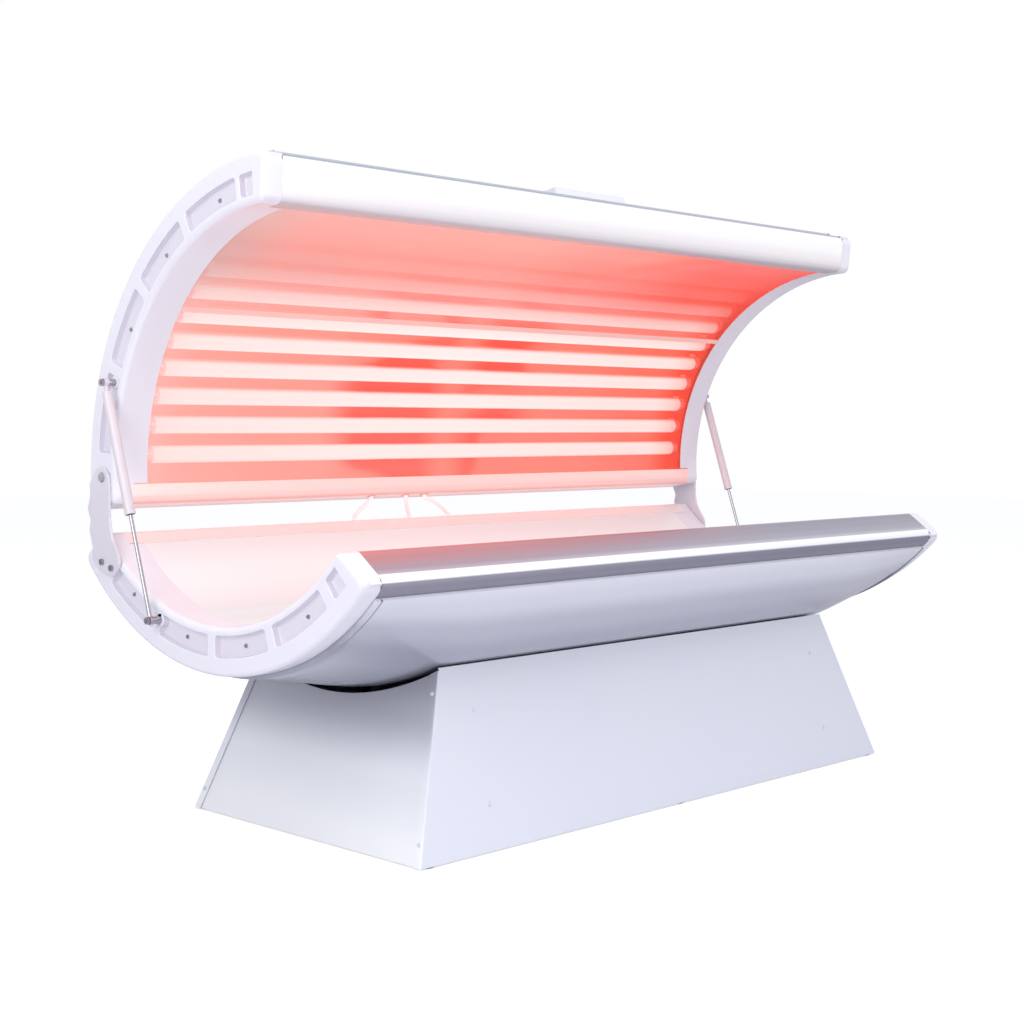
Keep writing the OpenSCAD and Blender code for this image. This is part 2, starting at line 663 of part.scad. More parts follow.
grommet_r = 8.5;
grommet_flange = 2;
grommet_t = 5;
module lead_grommet(x) on_nose_face(x) difference() {
    union() {
        translate([0, 0, joint_gap])
            cylinder(r = grommet_r + grommet_flange, h = grommet_t / 2, $fn = small_fn);
        translate([0, 0, -rail_t - joint_gap])
            cylinder(r = grommet_r, h = rail_t + 2 * joint_gap, $fn = small_fn);
    }
    cylinder(d = lead_d + 2 * seat, h = 4 * grommet_t, center = true, $fn = small_fn);
}

// a tube of lead_sides sides along a route
function unit(v) = v / norm(v);
function route_dir(r, i) = unit(r[min(i + 1, len(r) - 1)] - r[max(i - 1, 0)]);
function lead_ring(r, i) = let (d = route_dir(r, i), u = unit(cross(d, [1, 0, 0])), w = cross(d, u))
    [for (k = [0:lead_sides - 1]) let (a = k * 360 / lead_sides) r[i] + lead_d / 2 * (cos(a) * u + sin(a) * w)];
module lead(r) {
    n = lead_sides;
    last = (len(r) - 1) * n;
    polyhedron(points = [for (i = [0:len(r) - 1]) each lead_ring(r, i)], faces = concat(
        [[for (k = [0:n - 1]) k]], [[for (k = [n - 1:-1:0]) last + k]],
        [for (i = [0:len(r) - 2], k = [0:n - 1])
            [i * n + k, (i + 1) * n + k, (i + 1) * n + (k + 1) % n, i * n + (k + 1) % n]]));
}

module supply_leads() color("white") for (r = lead_routes) lead(r);

// the strut points up along +Z from the lower stud, at X = 0
module along_strut() translate([0, low_p[0], low_p[1]]) rotate([strut_dir - 90, 0, 0]) children();

module strut_eye(z, neck_to) difference() {
    union() {
        translate([-strut_eye_w / 2, 0, z]) rotate([0, 90, 0])
            cylinder(r = strut_eye_r, h = strut_eye_w, $fn = round_fn);
        translate([0, 0, min(z, neck_to)]) cylinder(d = strut_neck_d, h = abs(neck_to - z), $fn = small_fn);
    }
    translate([-strut_eye_w, 0, z]) rotate([0, 90, 0])
        cylinder(r = stud_d / 2 + running_gap, h = 2 * strut_eye_w, $fn = round_fn);
}

strut_neck = 22;
strut_neck_d = 9;
strut_screwed = 4;
module strut_rod() along_strut() {
    strut_eye(0, strut_neck);
    translate([0, 0, strut_neck - strut_screwed]) cylinder(d = strut_rod_d,
        h = strut_rod_shown + strut_rod_inside - strut_neck + strut_screwed, $fn = small_fn);
}

strut_gland_t = 6;
strut_gland_step = 0.6;
module strut_cylinder() along_strut() {
    strut_eye(strut_len, strut_len - strut_neck);
    difference() {
        union() {
            translate([0, 0, strut_rod_shown])
                cylinder(d = strut_tube_d, h = strut_len - strut_neck - strut_rod_shown, $fn = round_fn);
            translate([0, 0, strut_rod_shown])
                cylinder(d = strut_tube_d + 2 * strut_gland_step, h = strut_gland_t, $fn = round_fn);
        }
        translate([0, 0, strut_rod_shown - past]) cylinder(r = strut_tube_d / 2 - strut_tube_wall,
            h = strut_len - strut_neck - strut_rod_shown - strut_gland_t, $fn = round_fn);
    }
}

nut_r = 7.5;
nut_t = 6.5;
thread_past = 2;
collar_d = 15.2;
// a strut's stud at the left end: collar, shank, outer nut and the nut behind the end plate
module strut_stud(p) translate([0, p[0], p[1]]) rotate([0, 90, 0]) {
    stud_in = cap_face_t + seat + end_plate_t;
    eye_in = -strut_out + strut_eye_w / 2 + joint_gap;
    eye_out = -strut_out - strut_eye_w / 2 - joint_gap;
    translate([0, 0, eye_out - nut_t - thread_past])
        cylinder(d = stud_d, h = stud_in - eye_out + 2 * (nut_t + thread_past), $fn = round_fn);
    translate([0, 0, eye_in]) cylinder(d = collar_d, h = -eye_in - joint_gap, $fn = round_fn);
    translate([0, 0, eye_out - nut_t]) cylinder(r = nut_r, h = nut_t, $fn = hex_fn);
    translate([0, 0, stud_in + joint_gap]) cylinder(r = nut_r, h = nut_t, $fn = hex_fn);
}

// one hinge plate, at the left end, outside the caps
module hinge_plate() translate([-seat - hinge_plate_t, hinge_bed[0], hinge_bed[1]]) along(0, hinge_plate_t)
difference() {
    union() {
        for (lobe = plate_lobes) translate([lobe[0], lobe[1]]) circle(lobe[2], $fn = round_fn);
        polygon(plate_edge);
    }
    circle(hinge_pin_d / 2 + joint_gap, $fn = round_fn);
    for (p = hinge_bolt_p) translate(p) circle(hinge_bolt_d / 2 + joint_gap, $fn = small_fn);
}

bolt_head_t = 5;
bolt_head_r = 6.4;
bolt_nut_r = 7.2;
bolt_nut_t = 6;
bolt_past = 10;
module hinge_bolt(p) translate([-seat - hinge_plate_t - joint_gap, p[0], p[1]]) rotate([0, 90, 0]) {
    bolt_in = hinge_plate_t + 2 * seat + cap_face_t + end_plate_t + joint_gap;
    cylinder(d = hinge_bolt_d, h = bolt_in + bolt_past, $fn = small_fn);
    translate([0, 0, -bolt_head_t]) cylinder(r = bolt_head_r, h = bolt_head_t, $fn = small_fn);
    translate([0, 0, bolt_in + joint_gap]) cylinder(r = bolt_nut_r, h = bolt_nut_t, $fn = hex_fn);
}

bush_len = 18;
bush_flange = 3;
bush_wall = 3.5;
pin_past = 4;
pin_head_t = 4;
pin_head_in_r = 8.4;
pin_head_out_r = 10.92;
module hinge_pin() translate([-seat - hinge_plate_t - joint_gap, hinge_bed[0], hinge_bed[1]])
rotate([0, 90, 0]) {
    cylinder(d = hinge_pin_d, h = hinge_plate_t + cap_face_t + 2 * seat + bush_len + pin_past, $fn = round_fn);
    translate([0, 0, -pin_head_t])
        cylinder(r1 = pin_head_in_r, r2 = pin_head_out_r, h = pin_head_t, $fn = round_fn);
}

// a flanged bush in the canopy's end plate, round the hinge pin
module hinge_bush() translate([cap_face_t + seat - joint_gap, hinge_canopy[0], hinge_canopy[1]])
rotate([0, 90, 0]) difference() {
    union() {
        cylinder(d = hinge_pin_d + 2 * bush_wall, h = bush_len, $fn = round_fn);
        translate([0, 0, end_plate_t + 2 * joint_gap])
            cylinder(d = hinge_pin_d + 4 * bush_wall, h = bush_flange, $fn = round_fn);
    }
    translate([0, 0, -past])
        cylinder(r = hinge_pin_d / 2 + running_gap, h = bush_len + 2 * past, $fn = round_fn);
}

// the pedestal: slanted planes with X level, Y up the slope and Z out of the panel
tilt_y = atan((ped_half_y - ped_top_half_y) / ped_height);
tilt_x = atan((ped_half_x - ped_top_half_x) / ped_height);
slope_y = ped_height / cos(tilt_y);
slope_x = ped_height / cos(tilt_x);
module front_plane() translate([0, -ped_forward - ped_half_y, 0]) rotate([90 - tilt_y, 0, 0]) children();
module rear_plane() translate([0, -2 * ped_forward, 0]) mirror([0, 1, 0]) front_plane() children();
module left_plane() translate([-ped_half_x, -ped_forward, 0]) rotate([0, 0, -90]) rotate([90 - tilt_x, 0, 0])
    children();

module trapezoid2d(half_low, half_high, slope, drawn) {
    y0 = panel_floor_gap;
    lean = (half_low - half_high) / slope;
    polygon([[-half_low + lean * y0 + drawn, y0], [half_low - lean * y0 - drawn, y0],
        [half_high - drawn, slope], [-half_high + drawn, slope]]);
}

module corner_flange2d() {
    y0 = panel_floor_gap;
    lean = (ped_half_y - ped_top_half_y) / slope_x;
    polygon([[ped_half_y - lean * y0 - panel_flange, y0], [ped_half_y - lean * y0, y0],
        [ped_top_half_y, slope_x], [ped_top_half_y - panel_flange, slope_x]]);
}

flange_low_z = 44;
flange_high_z = 310;
flange_screw_in = 10;
function flange_x(z) = ped_half_y - (ped_half_y - ped_top_half_y) * z / ped_height - flange_screw_in;
module flange_screws() for (z = [flange_low_z, flange_high_z]) left_plane() for (s = [-1, 1])
    translate([s * flange_x(z), z / cos(tilt_x), joint_gap]) rotate([0, 90, 0]) screw(panel_screw_len);

module panel_screws() for (s = [-1, 1], z = [screw_low_z, screw_high_z])
    translate([s * screw_half_x, z / cos(tilt_y), joint_gap]) rotate([0, 90, 0]) screw(panel_screw_len);

hole_cut = 10;
// the front panel with the flanges that wrap round both corners and the lip along its top
top_lip = 14;
module long_panel() difference() {
    union() {
        front_plane() translate([0, 0, -panel_t]) linear_extrude(panel_t)
            trapezoid2d(ped_half_x, ped_top_half_x, slope_y, 0);
        for (m = [0, 1]) mirror([m, 0, 0]) left_plane() translate([0, 0, -panel_t]) linear_extrude(panel_t)
            corner_flange2d();
        front_plane() translate([-ped_top_half_x + panel_flange, slope_y - panel_t, -top_lip])
            cube([2 * (ped_top_half_x - panel_flange), panel_t, top_lip]);
    }
    front_plane() for (s = [-1, 1], z = [screw_low_z, screw_high_z])
        translate([s * screw_half_x, z / cos(tilt_y), -hole_cut / 2])
            cylinder(d = screw_d + 2 * joint_gap, h = hole_cut, $fn = small_fn);
    for (m = [0, 1]) mirror([m, 0, 0]) left_plane() for (z = [flange_low_z, flange_high_z])
        translate([flange_x(z), z / cos(tilt_x), -hole_cut / 2])
            cylinder(d = screw_d + 2 * joint_gap, h = hole_cut, $fn = small_fn);
}

// the end panel, under the corner flanges, with its top cut to the curve of the shell
module end_panel() difference() {
    left_plane() translate([0, 0, -2 * panel_t - joint_gap]) linear_extrude(panel_t)
        trapezoid2d(ped_half_y, ped_top_half_y, slope_x, 2 * panel_t);
    translate([0, 0, axis_z]) rotate([0, 90, 0])
        cylinder(r = shell_r + panel_shell_gap, h = 2 * body_length, center = true, $fn = arc_fn);
    left_plane() for (z = [flange_low_z, flange_high_z], s = [-1, 1])
        translate([s * flange_x(z), z / cos(tilt_x), -hole_cut + 2 * past])
            cylinder(d = screw_d + 2 * joint_gap, h = hole_cut, $fn = small_fn);
}

tube_top_z = foot_h + tube_w;
tube_y = ped_half_y - tube_top_z * tan(tilt_y) - (panel_t + seat) / cos(tilt_y);
tube_x = ped_half_x - tube_top_z * tan(tilt_x) - (2 * panel_t + joint_gap + seat) / cos(tilt_x);
cradle_rise = 24;
beam_top_z = axis_z - shell_r - cradle_rise;
cradle_x = rib_x[len(rib_x) - 2];
tray_border = 20;
tray_half_x = supply_box_l / 2 + tray_border;
tray_t = 3;
module frame_tube(x0, x1, y0, y1, z0) translate([x0, y0, z0]) cube([x1 - x0, y1 - y0, tube_w]);
// the welded floor frame: a ring of square tube, two cross tubes and the tray for the supply box
module floor_frame() translate([0, -ped_forward, 0]) {
    for (s = [-1, 1]) {
        side_y = s * (tube_y - tube_w / 2);
        end_x = s * (tube_x - tube_w / 2);
        frame_tube(-tube_x, tube_x, side_y - tube_w / 2, side_y + tube_w / 2, foot_h);
        frame_tube(end_x - tube_w / 2, end_x + tube_w / 2, -tube_y, tube_y, foot_h);
        frame_tube(s * cradle_x - tube_w / 2, s * cradle_x + tube_w / 2, -tube_y, tube_y, foot_h);
    }
    translate([-tray_half_x, -tube_y + tube_w / 2, tube_top_z - tray_t])
        cube([2 * tray_half_x, 2 * tube_y - tube_w, tray_t]);
}

// the welded stand on the floor frame: four uprights under a ring that carries the cradles
module stand_frame() translate([0, -ped_forward, 0]) for (s = [-1, 1]) {
    frame_tube(s * cradle_x - tube_w / 2, s * cradle_x + tube_w / 2, -upright_half_y - tube_w / 2,
        upright_half_y + tube_w / 2, beam_top_z - tube_w);
    frame_tube(-cradle_x, cradle_x, s * upright_half_y - tube_w / 2, s * upright_half_y + tube_w / 2,
        beam_top_z - tube_w);
    for (t = [-1, 1])
        translate([s * cradle_x - tube_w / 2, t * upright_half_y - tube_w / 2, tube_top_z + joint_gap])
            cube([tube_w, tube_w, beam_top_z - tube_top_z - joint_gap]);
}

cradle_t = 4;
cradle_r = shell_r + joint_gap;
// a cradle: base flange on the beam, upright web and a curved saddle under the shell
module cradle() {
    along(-cradle_w / 2, cradle_w / 2) arc2d(cradle_r, cradle_r + cradle_t, -cradle_half, cradle_half);
    cradle_y = cradle_r * sin(cradle_half);
    foot_z = beam_top_z + joint_gap - axis_z;
    along(-cradle_t / 2, cradle_t / 2) difference() {
        translate([-cradle_y, foot_z]) square([2 * cradle_y, cradle_r * (1 - cos(cradle_half)) + cradle_rise]);
        circle(cradle_r + cradle_t / 2, $fn = arc_fn);
    }
    translate([-cradle_w / 2, -cradle_y, foot_z]) cube([cradle_w, 2 * cradle_y, cradle_t]);
}

foot_at = [[-1, -1], [0, -1], [1, -1], [-1, 1], [0, 1], [1, 1]];
module foot() {
    cylinder(d = foot_d, h = foot_h / 2, $fn = round_fn);
    cylinder(d = foot_d / 2, h = foot_h - joint_gap, $fn = hex_fn);
}

inlet_x = 500;
inlet_up = 120;
inlet_w = 58;
inlet_r = 19;
inlet_flange = 4;
inlet_depth = 30;
inlet_wall = 3;
inlet_floor = 6;
inlet_pin_r = 2.2;
inlet_pin_at = 8;
module inlet_shroud() {
    difference() {
        union() {
            translate([-inlet_w / 2, -inlet_w / 2, joint_gap]) cube([inlet_w, inlet_w, inlet_flange]);
            translate([0, 0, -inlet_depth]) cylinder(r = inlet_r, h = inlet_depth + past, $fn = round_fn);
        }
        translate([0, 0, inlet_floor - inlet_depth])
            cylinder(r = inlet_r - inlet_wall, h = inlet_depth + inlet_flange, $fn = round_fn);
    }
    for (a = [90, 210, 330]) rotate([0, 0, a]) translate([inlet_pin_at, 0, inlet_floor - inlet_depth - 2 * past])
        cylinder(r = inlet_pin_r, h = inlet_depth - inlet_floor - inlet_flange, $fn = small_fn);
}

module pedestal_front_panel() color("white") long_panel();
module pedestal_rear_panel() color("white") difference() {
    translate([0, -2 * ped_forward, 0]) mirror([0, 1, 0]) long_panel();
    rear_plane() translate([inlet_x, inlet_up, -hole_cut / 2])
        cylinder(r = inlet_r + joint_gap, h = hole_cut, $fn = round_fn);
}
module pedestal_left_panel() color("white") end_panel();
module pedestal_right_panel() color("white") mirror([1, 0, 0]) end_panel();
module pedestal_frame() color("dimgray") floor_frame();
module pedestal_stand() color("dimgray") stand_frame();
module shell_cradles() color("dimgray") on_bed() for (s = [-1, 1]) translate([s * cradle_x, 0, 0]) cradle();
module levelling_feet() color("black") for (p = foot_at)
    translate([p[0] * (tube_x - tube_w / 2), p[1] * (tube_y - tube_w / 2) - ped_forward, 0]) foot();
module pedestal_screws() color("silver") {
    front_plane() panel_screws();
    rear_plane() panel_screws();
    flange_screws();
    mirror([1, 0, 0]) flange_screws();
}
box_lid_t = 10;
box_lid_out = 3;
// the control box and its overlapping lid
module control_box() {
    cube([supply_box_l, supply_box_w, supply_box_h - box_lid_t / 2]);
    translate([-box_lid_out, -box_lid_out, supply_box_h - box_lid_t])
        cube([supply_box_l + 2 * box_lid_out, supply_box_w + 2 * box_lid_out, box_lid_t]);
}
module supply_box() color("gainsboro")
    translate([-supply_box_l / 2, -ped_forward - supply_box_w / 2, tube_top_z + joint_gap]) control_box();
module power_inlet() color("black") rear_plane() translate([inlet_x, inlet_up, 0]) inlet_shroud();

module bed_outer_shell() color("lavender") on_bed() half_shell();
module bed_front_rail() color("white") on_bed() mirror([0, 1, 0]) edge_rail([]);
module bed_rear_rail() color("white") on_bed() edge_rail(lead_low_x);
module bed_ribs() color("silver") on_bed() half_ribs();
module bed_end_plates() color("silver") on_bed() for (left = [true, false]) at_left(left)
    end_plate(0, low_stud, [for (p = hinge_bolt_p) hinge_bed + p], hinge_bolt_d / 2 + joint_gap);
module bed_end_cap(left) on_bed() at_left(left)
    end_cap(0, low_stud, stud_d / 2 + seat, [for (p = hinge_bolt_p) hinge_bed + p], hinge_bolt_d / 2 + seat);
module bed_left_end_cap() color("white") bed_end_cap(true);
module bed_right_end_cap() color("white") bed_end_cap(false);
module bed_cap_screws() color("silver") on_bed() cap_screws(0);
acrylic_x = half_l - cap_band - lip_len + acrylic_tuck;
acrylic_edge = 0.3;
acrylic_end = arc_half - nose_lap - acrylic_edge;
acrylic_r = lying_r + rail_t + seat;
module bed_acrylic() color("white", 0.5) on_bed() along(-acrylic_x, acrylic_x)
    arc2d(acrylic_r, acrylic_r + bed_acrylic_t, -acrylic_end, acrylic_end);
module bed_reflector() color("silver") on_bed() half_reflector();
module bed_lamps() color("mistyrose") on_bed() half_lamps();
module bed_lamp_holders() color("white") on_bed() half_lamp_holders();
module bed_ballasts() color("gainsboro") on_bed() half_ballasts();
module bed_fan_frame() color("black") on_bed() fan_frame();
module bed_fan_rotor() color("dimgray") on_bed() fan_rotor();
module bed_fan_guard() color("silver") on_bed() fan_guard();
module left_hinge_plate() color("white") on_bed() at_left(true) hinge_plate();
module right_hinge_plate() color("white") on_bed() at_left(false) hinge_plate();
module hinge_bolts() color("silver") on_bed() for (left = [true, false], p = hinge_bolt_p) at_left(left)
    hinge_bolt(hinge_bed + p);
module hinge_pins() color("silver") on_bed() for (left = [true, false]) at_left(left) hinge_pin();
module lower_strut_studs() color("silver") on_bed() for (left = [true, false]) at_left(left)
    strut_stud(low_stud);
module bed_lead_grommets() color("black") on_bed() for (x = lead_low_x) lead_grommet(x);
module left_strut_rod() color("silver") translate([-strut_x, 0, 0]) strut_rod();
module right_strut_rod() color("silver") translate([strut_x, 0, 0]) strut_rod();
module left_strut_cylinder() color("white") translate([-strut_x, 0, 0]) strut_cylinder();
module right_strut_cylinder() color("white") translate([strut_x, 0, 0]) strut_cylinder();

module canopy_outer_shell() color("lavender") on_canopy() half_shell();
module canopy_front_rail() color("white") on_canopy() edge_rail([]);
module canopy_lower_rail() color("white") on_canopy() mirror([0, 1, 0]) edge_rail(lead_top_x);
module canopy_ribs() color("silver") on_canopy() half_ribs();
module canopy_end_plates() color("silver") on_canopy() for (left = [true, false]) at_left(left)
    end_plate(canopy_pocket_turn, up_stud, [hinge_canopy], hinge_pin_d / 2 + bush_wall + running_gap);
module canopy_end_cap(left) on_canopy() at_left(left)
    end_cap(canopy_pocket_turn, up_stud, stud_d / 2 + seat, [hinge_canopy], hinge_pin_d / 2 + bush_wall + seat);
module canopy_left_end_cap() color("white") canopy_end_cap(true);
module canopy_right_end_cap() color("white") canopy_end_cap(false);
module canopy_cap_screws() color("silver") on_canopy() cap_screws(canopy_pocket_turn);
sheet_gap = 0.1;
module canopy_acrylic() color("white", 0.5) on_canopy() for (m = [0, 1]) mirror([0, m, 0])
    along(-acrylic_x, acrylic_x) arc2d(acrylic_r, acrylic_r + canopy_acrylic_t, sheet_gap, acrylic_end);
strip_half = joint_strip_w / 2 / lying_r * 180 / PI;
module canopy_joint_strip() color("white") on_canopy()
    along(-acrylic_x + acrylic_tuck + past, acrylic_x - acrylic_tuck - past)
        arc2d(acrylic_r - rail_t, acrylic_r - joint_gap, -strip_half, strip_half);
module canopy_reflector() color("silver") on_canopy() half_reflector();
module canopy_lamps() color("mistyrose") on_canopy() half_lamps();
module canopy_lamp_holders() color("white") on_canopy() half_lamp_holders();
module canopy_ballasts() color("gainsboro") on_canopy() half_ballasts();
module canopy_fan_frame() color("black") on_canopy() fan_frame();
module canopy_fan_rotor() color("dimgray") on_canopy() fan_rotor();
module canopy_fan_guard() color("silver") on_canopy() fan_guard();
keypad_t = 1.5;
keypad_frame = 12;
box_wall = 3;
box_top = -(shell_r + panel_box_h);
// the control panel's housing, seated on the curve of the shell, with a recess for the keypad
module control_panel() color("white") on_canopy() difference() {
    at_angle(panel_box_a) difference() {
        translate([-panel_box_l / 2, -panel_box_w / 2, box_top])
            cube([panel_box_l, panel_box_w, panel_box_h + 4 * shell_t]);
        translate([-panel_box_l / 2 + keypad_frame, -panel_box_w / 2 + keypad_frame, box_top - past])
            cube([panel_box_l - 2 * keypad_frame, panel_box_w - 2 * keypad_frame, keypad_t + past]);
        translate([-panel_box_l / 2 + box_wall, -panel_box_w / 2 + box_wall, box_top + keypad_t + box_wall])
            cube([panel_box_l - 2 * box_wall, panel_box_w - 2 * box_wall, panel_box_h + 4 * shell_t]);
    }
    rotate([0, 90, 0]) cylinder(r = shell_r + joint_gap, h = body_length, center = true, $fn = arc_fn);
}
key_r = 7;
key_pitch = 26;
key_from = 6;
key_rise = 0.4;
key_t = 1;
window_l = 70;
window_w = 30;
window_in = 24;
film_in = keypad_frame + seat;
// the membrane keypad with its display window
module keypad() color("dimgray") on_canopy() at_angle(panel_box_a) {
    translate([-panel_box_l / 2 + film_in, -panel_box_w / 2 + film_in, box_top + joint_gap])
        cube([panel_box_l - 2 * film_in, panel_box_w - 2 * film_in, keypad_t - 2 * joint_gap]);
    translate([-panel_box_l / 2 + window_in, -window_w / 2, box_top - key_rise])
        cube([window_l, window_w, key_t]);
    for (i = [0:3]) translate([key_from + i * key_pitch, 0, box_top - key_rise])
        cylinder(r = key_r, h = key_t, $fn = small_fn);
}
module upper_strut_studs() color("silver") on_canopy() for (left = [true, false]) at_left(left)
    strut_stud(up_stud);
module hinge_bushes() color("goldenrod") on_canopy() for (left = [true, false]) at_left(left) hinge_bush();
module canopy_lead_grommets() color("black") on_canopy() mirror([0, 1, 0]) for (x = lead_top_x) lead_grommet(x);

pedestal_front_panel();
pedestal_rear_panel();
pedestal_left_panel();
pedestal_right_panel();
pedestal_frame();
pedestal_stand();
shell_cradles();
levelling_feet();
pedestal_screws();
supply_box();
power_inlet();
bed_outer_shell();
bed_front_rail();
bed_rear_rail();
bed_ribs();
bed_end_plates();
bed_left_end_cap();
bed_right_end_cap();
bed_cap_screws();
bed_acrylic();
bed_reflector();
bed_lamps();
bed_lamp_holders();
bed_ballasts();
bed_fan_frame();
bed_fan_rotor();
bed_fan_guard();
left_hinge_plate();
right_hinge_plate();
hinge_bolts();
hinge_pins();
lower_strut_studs();
bed_lead_grommets();
supply_leads();
left_strut_rod();
right_strut_rod();
left_strut_cylinder();
right_strut_cylinder();
canopy_outer_shell();
canopy_front_rail();
canopy_lower_rail();
canopy_ribs();
canopy_end_plates();
canopy_left_end_cap();
canopy_right_end_cap();
canopy_cap_screws();
canopy_acrylic();
canopy_joint_strip();
canopy_reflector();
canopy_lamps();
canopy_lamp_holders();
canopy_ballasts();
canopy_fan_frame();
canopy_fan_rotor();
canopy_fan_guard();
control_panel();
keypad();
upper_strut_studs();
hinge_bushes();
canopy_lead_grommets();
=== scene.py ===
"""A collagen bed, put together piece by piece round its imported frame, in metres.

X runs along the bed, -Y is the side that the user sits down on and Z is up from the floor.
Both halves are drawn in the section's own frame, whose X axis is the axis of the curve and whose
-Z points to the middle of the half, and are then put in their place on the bed.
"""

import json
import math

import bmesh
import bpy
from mathutils import Matrix, Vector


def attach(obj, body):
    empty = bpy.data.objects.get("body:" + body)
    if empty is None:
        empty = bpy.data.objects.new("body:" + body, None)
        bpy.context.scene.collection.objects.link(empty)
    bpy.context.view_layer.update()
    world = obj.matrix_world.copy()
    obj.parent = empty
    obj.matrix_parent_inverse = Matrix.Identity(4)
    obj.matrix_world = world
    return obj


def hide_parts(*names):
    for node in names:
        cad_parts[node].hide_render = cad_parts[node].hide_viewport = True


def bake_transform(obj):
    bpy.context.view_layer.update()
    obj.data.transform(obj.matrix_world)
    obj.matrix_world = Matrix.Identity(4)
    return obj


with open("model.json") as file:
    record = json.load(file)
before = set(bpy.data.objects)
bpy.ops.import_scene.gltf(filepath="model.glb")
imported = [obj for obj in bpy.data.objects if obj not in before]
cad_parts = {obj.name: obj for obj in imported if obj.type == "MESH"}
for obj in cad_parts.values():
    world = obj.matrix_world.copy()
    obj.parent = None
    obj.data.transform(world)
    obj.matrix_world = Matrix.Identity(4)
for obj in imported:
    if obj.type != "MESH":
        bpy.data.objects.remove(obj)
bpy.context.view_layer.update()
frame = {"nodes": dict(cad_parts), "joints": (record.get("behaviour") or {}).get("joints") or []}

# Camera and studio
# A camera at the height of the user's chest, off the left end and the front, a plain pale floor
# and soft light from all sides, most of it from above.
camera_place = (-2.8109, -2.6207, 0.8241)
camera_turn = (87.065, -0.047, -45.513)
camera_lens = 57.773
camera_data = bpy.data.cameras.new("camera")
camera_data.lens = camera_lens
camera_data.sensor_width = 36.0
camera = bpy.data.objects.new("camera", camera_data)
camera.location = camera_place
camera.rotation_euler = [math.radians(a) for a in camera_turn]
bpy.context.scene.collection.objects.link(camera)
bpy.context.scene.camera = camera
bpy.context.scene.view_settings.view_transform = "Standard"


def linear(colour):
    """The linear colour of an sRGB hex value such as 'e8e6f2'."""
    parts = [int(colour[i : i + 2], 16) / 255 for i in (0, 2, 4)]
    return [p / 12.92 if p <= 0.04045 else ((p + 0.055) / 1.055) ** 2.4 for p in parts] + [1.0]


def feed(tree, socket, value):
    """Links a socket to another one, or sets its value."""
    if isinstance(value, bpy.types.NodeSocket):
        tree.links.new(value, socket)
    else:
        socket.default_value = value


def add_node(tree, kind, links=None, stops=(), **settings):
    """A shader node with its settings, its sockets set or linked, and a colour ramp's hex stops."""
    node = tree.nodes.new(kind)
    for name, value in settings.items():
        setattr(node, name, value)
    for name, value in (links or {}).items():
        feed(tree, node.inputs[name], value)
    for i, (place, colour) in enumerate(stops):
        ramp = node.color_ramp
        ramp.interpolation = "EASE"
        element = ramp.elements[i] if i < 2 else ramp.elements.new(place)
        element.position = place
        element.color = linear(colour)
    return node


world = bpy.data.worlds.new("studio")
world.use_nodes = True
world.node_tree.nodes.clear()
world_tree = world.node_tree
rays = add_node(world_tree, "ShaderNodeLightPath").outputs
shown = rays["Is Camera Ray"]
for ray in ("Is Transmission Ray", "Is Glossy Ray"):
    shown = add_node(world_tree, "ShaderNodeMath", {0: shown, 1: rays[ray]}, operation="MAXIMUM").outputs[0]
lit_air = add_node(world_tree, "ShaderNodeBackground", {"Color": linear("f6f6ff"), "Strength": 0.56})
white_ground = add_node(world_tree, "ShaderNodeBackground", {"Color": linear("ffffff"), "Strength": 1.0})
sky = {0: shown, 1: lit_air.outputs[0], 2: white_ground.outputs[0]}
sky = add_node(world_tree, "ShaderNodeMixShader", sky).outputs[0]
add_node(world_tree, "ShaderNodeOutputWorld", {"Surface": sky})
bpy.context.scene.world = world


def add_lamp(name, place, aim, size, power):
    """A square white softbox that looks from its place at a point."""
    data = bpy.data.lights.new(name, "AREA")
    data.shape = "SQUARE"
    data.size = size
    data.energy = power
    lamp = bpy.data.objects.new(name, data)
    lamp.location = place
    lamp.rotation_euler = (Vector(aim) - Vector(place)).to_track_quat("-Z", "Y").to_euler()
    bpy.context.scene.collection.objects.link(lamp)


add_lamp("softbox_above", (-0.6, -1.4, 3.4), (0, 0, 0.6), 2.6, 46)
add_lamp("softbox_left", (-3.4, -0.8, 1.6), (-0.9, 0, 0.3), 1.8, 35)
add_lamp("softbox_front", (0.6, -4.2, 1.3), (0.1, 0, 0.3), 2.4, 32)

floor_size = 30.0
floor_mesh = bpy.data.meshes.new("floor")
floor_bm = bmesh.new()
bmesh.ops.create_grid(floor_bm, x_segments=1, y_segments=1, size=floor_size / 2)
floor_bm.to_mesh(floor_mesh)
floor_bm.free()
floor = bpy.data.objects.new("floor", floor_mesh)
bpy.context.scene.collection.objects.link(floor)
floor_paint = bpy.data.materials.new("pale_floor")
floor_paint.use_nodes = True
floor_tree = floor_paint.node_tree
floor_tree.nodes.clear()
seen = add_node(floor_tree, "ShaderNodeLightPath").outputs["Is Camera Ray"]
matt = add_node(floor_tree, "ShaderNodeBsdfDiffuse", {"Color": linear("e4e5ea")}).outputs[0]
lift = add_node(floor_tree, "ShaderNodeEmission", {"Color": linear("ffffff"), "Strength": 0.58}).outputs[0]
lifted = add_node(floor_tree, "ShaderNodeAddShader", {0: matt, 1: lift}).outputs[0]
floor_surface = add_node(floor_tree, "ShaderNodeMixShader", {0: seen, 1: matt, 2: lifted}).outputs[0]
add_node(floor_tree, "ShaderNodeOutputMaterial", {"Surface": floor_surface})
floor_mesh.materials.append(floor_paint)

# Powder coat of the pedestal
# The panels are powder coated white, with a fine orange peel and a soft sheen. The end panels have
# the same coat, with painted shade that darkens it towards their top, where the bed keeps the light off.
sheet_white = "dfe1eb"
ped_height = 0.3587


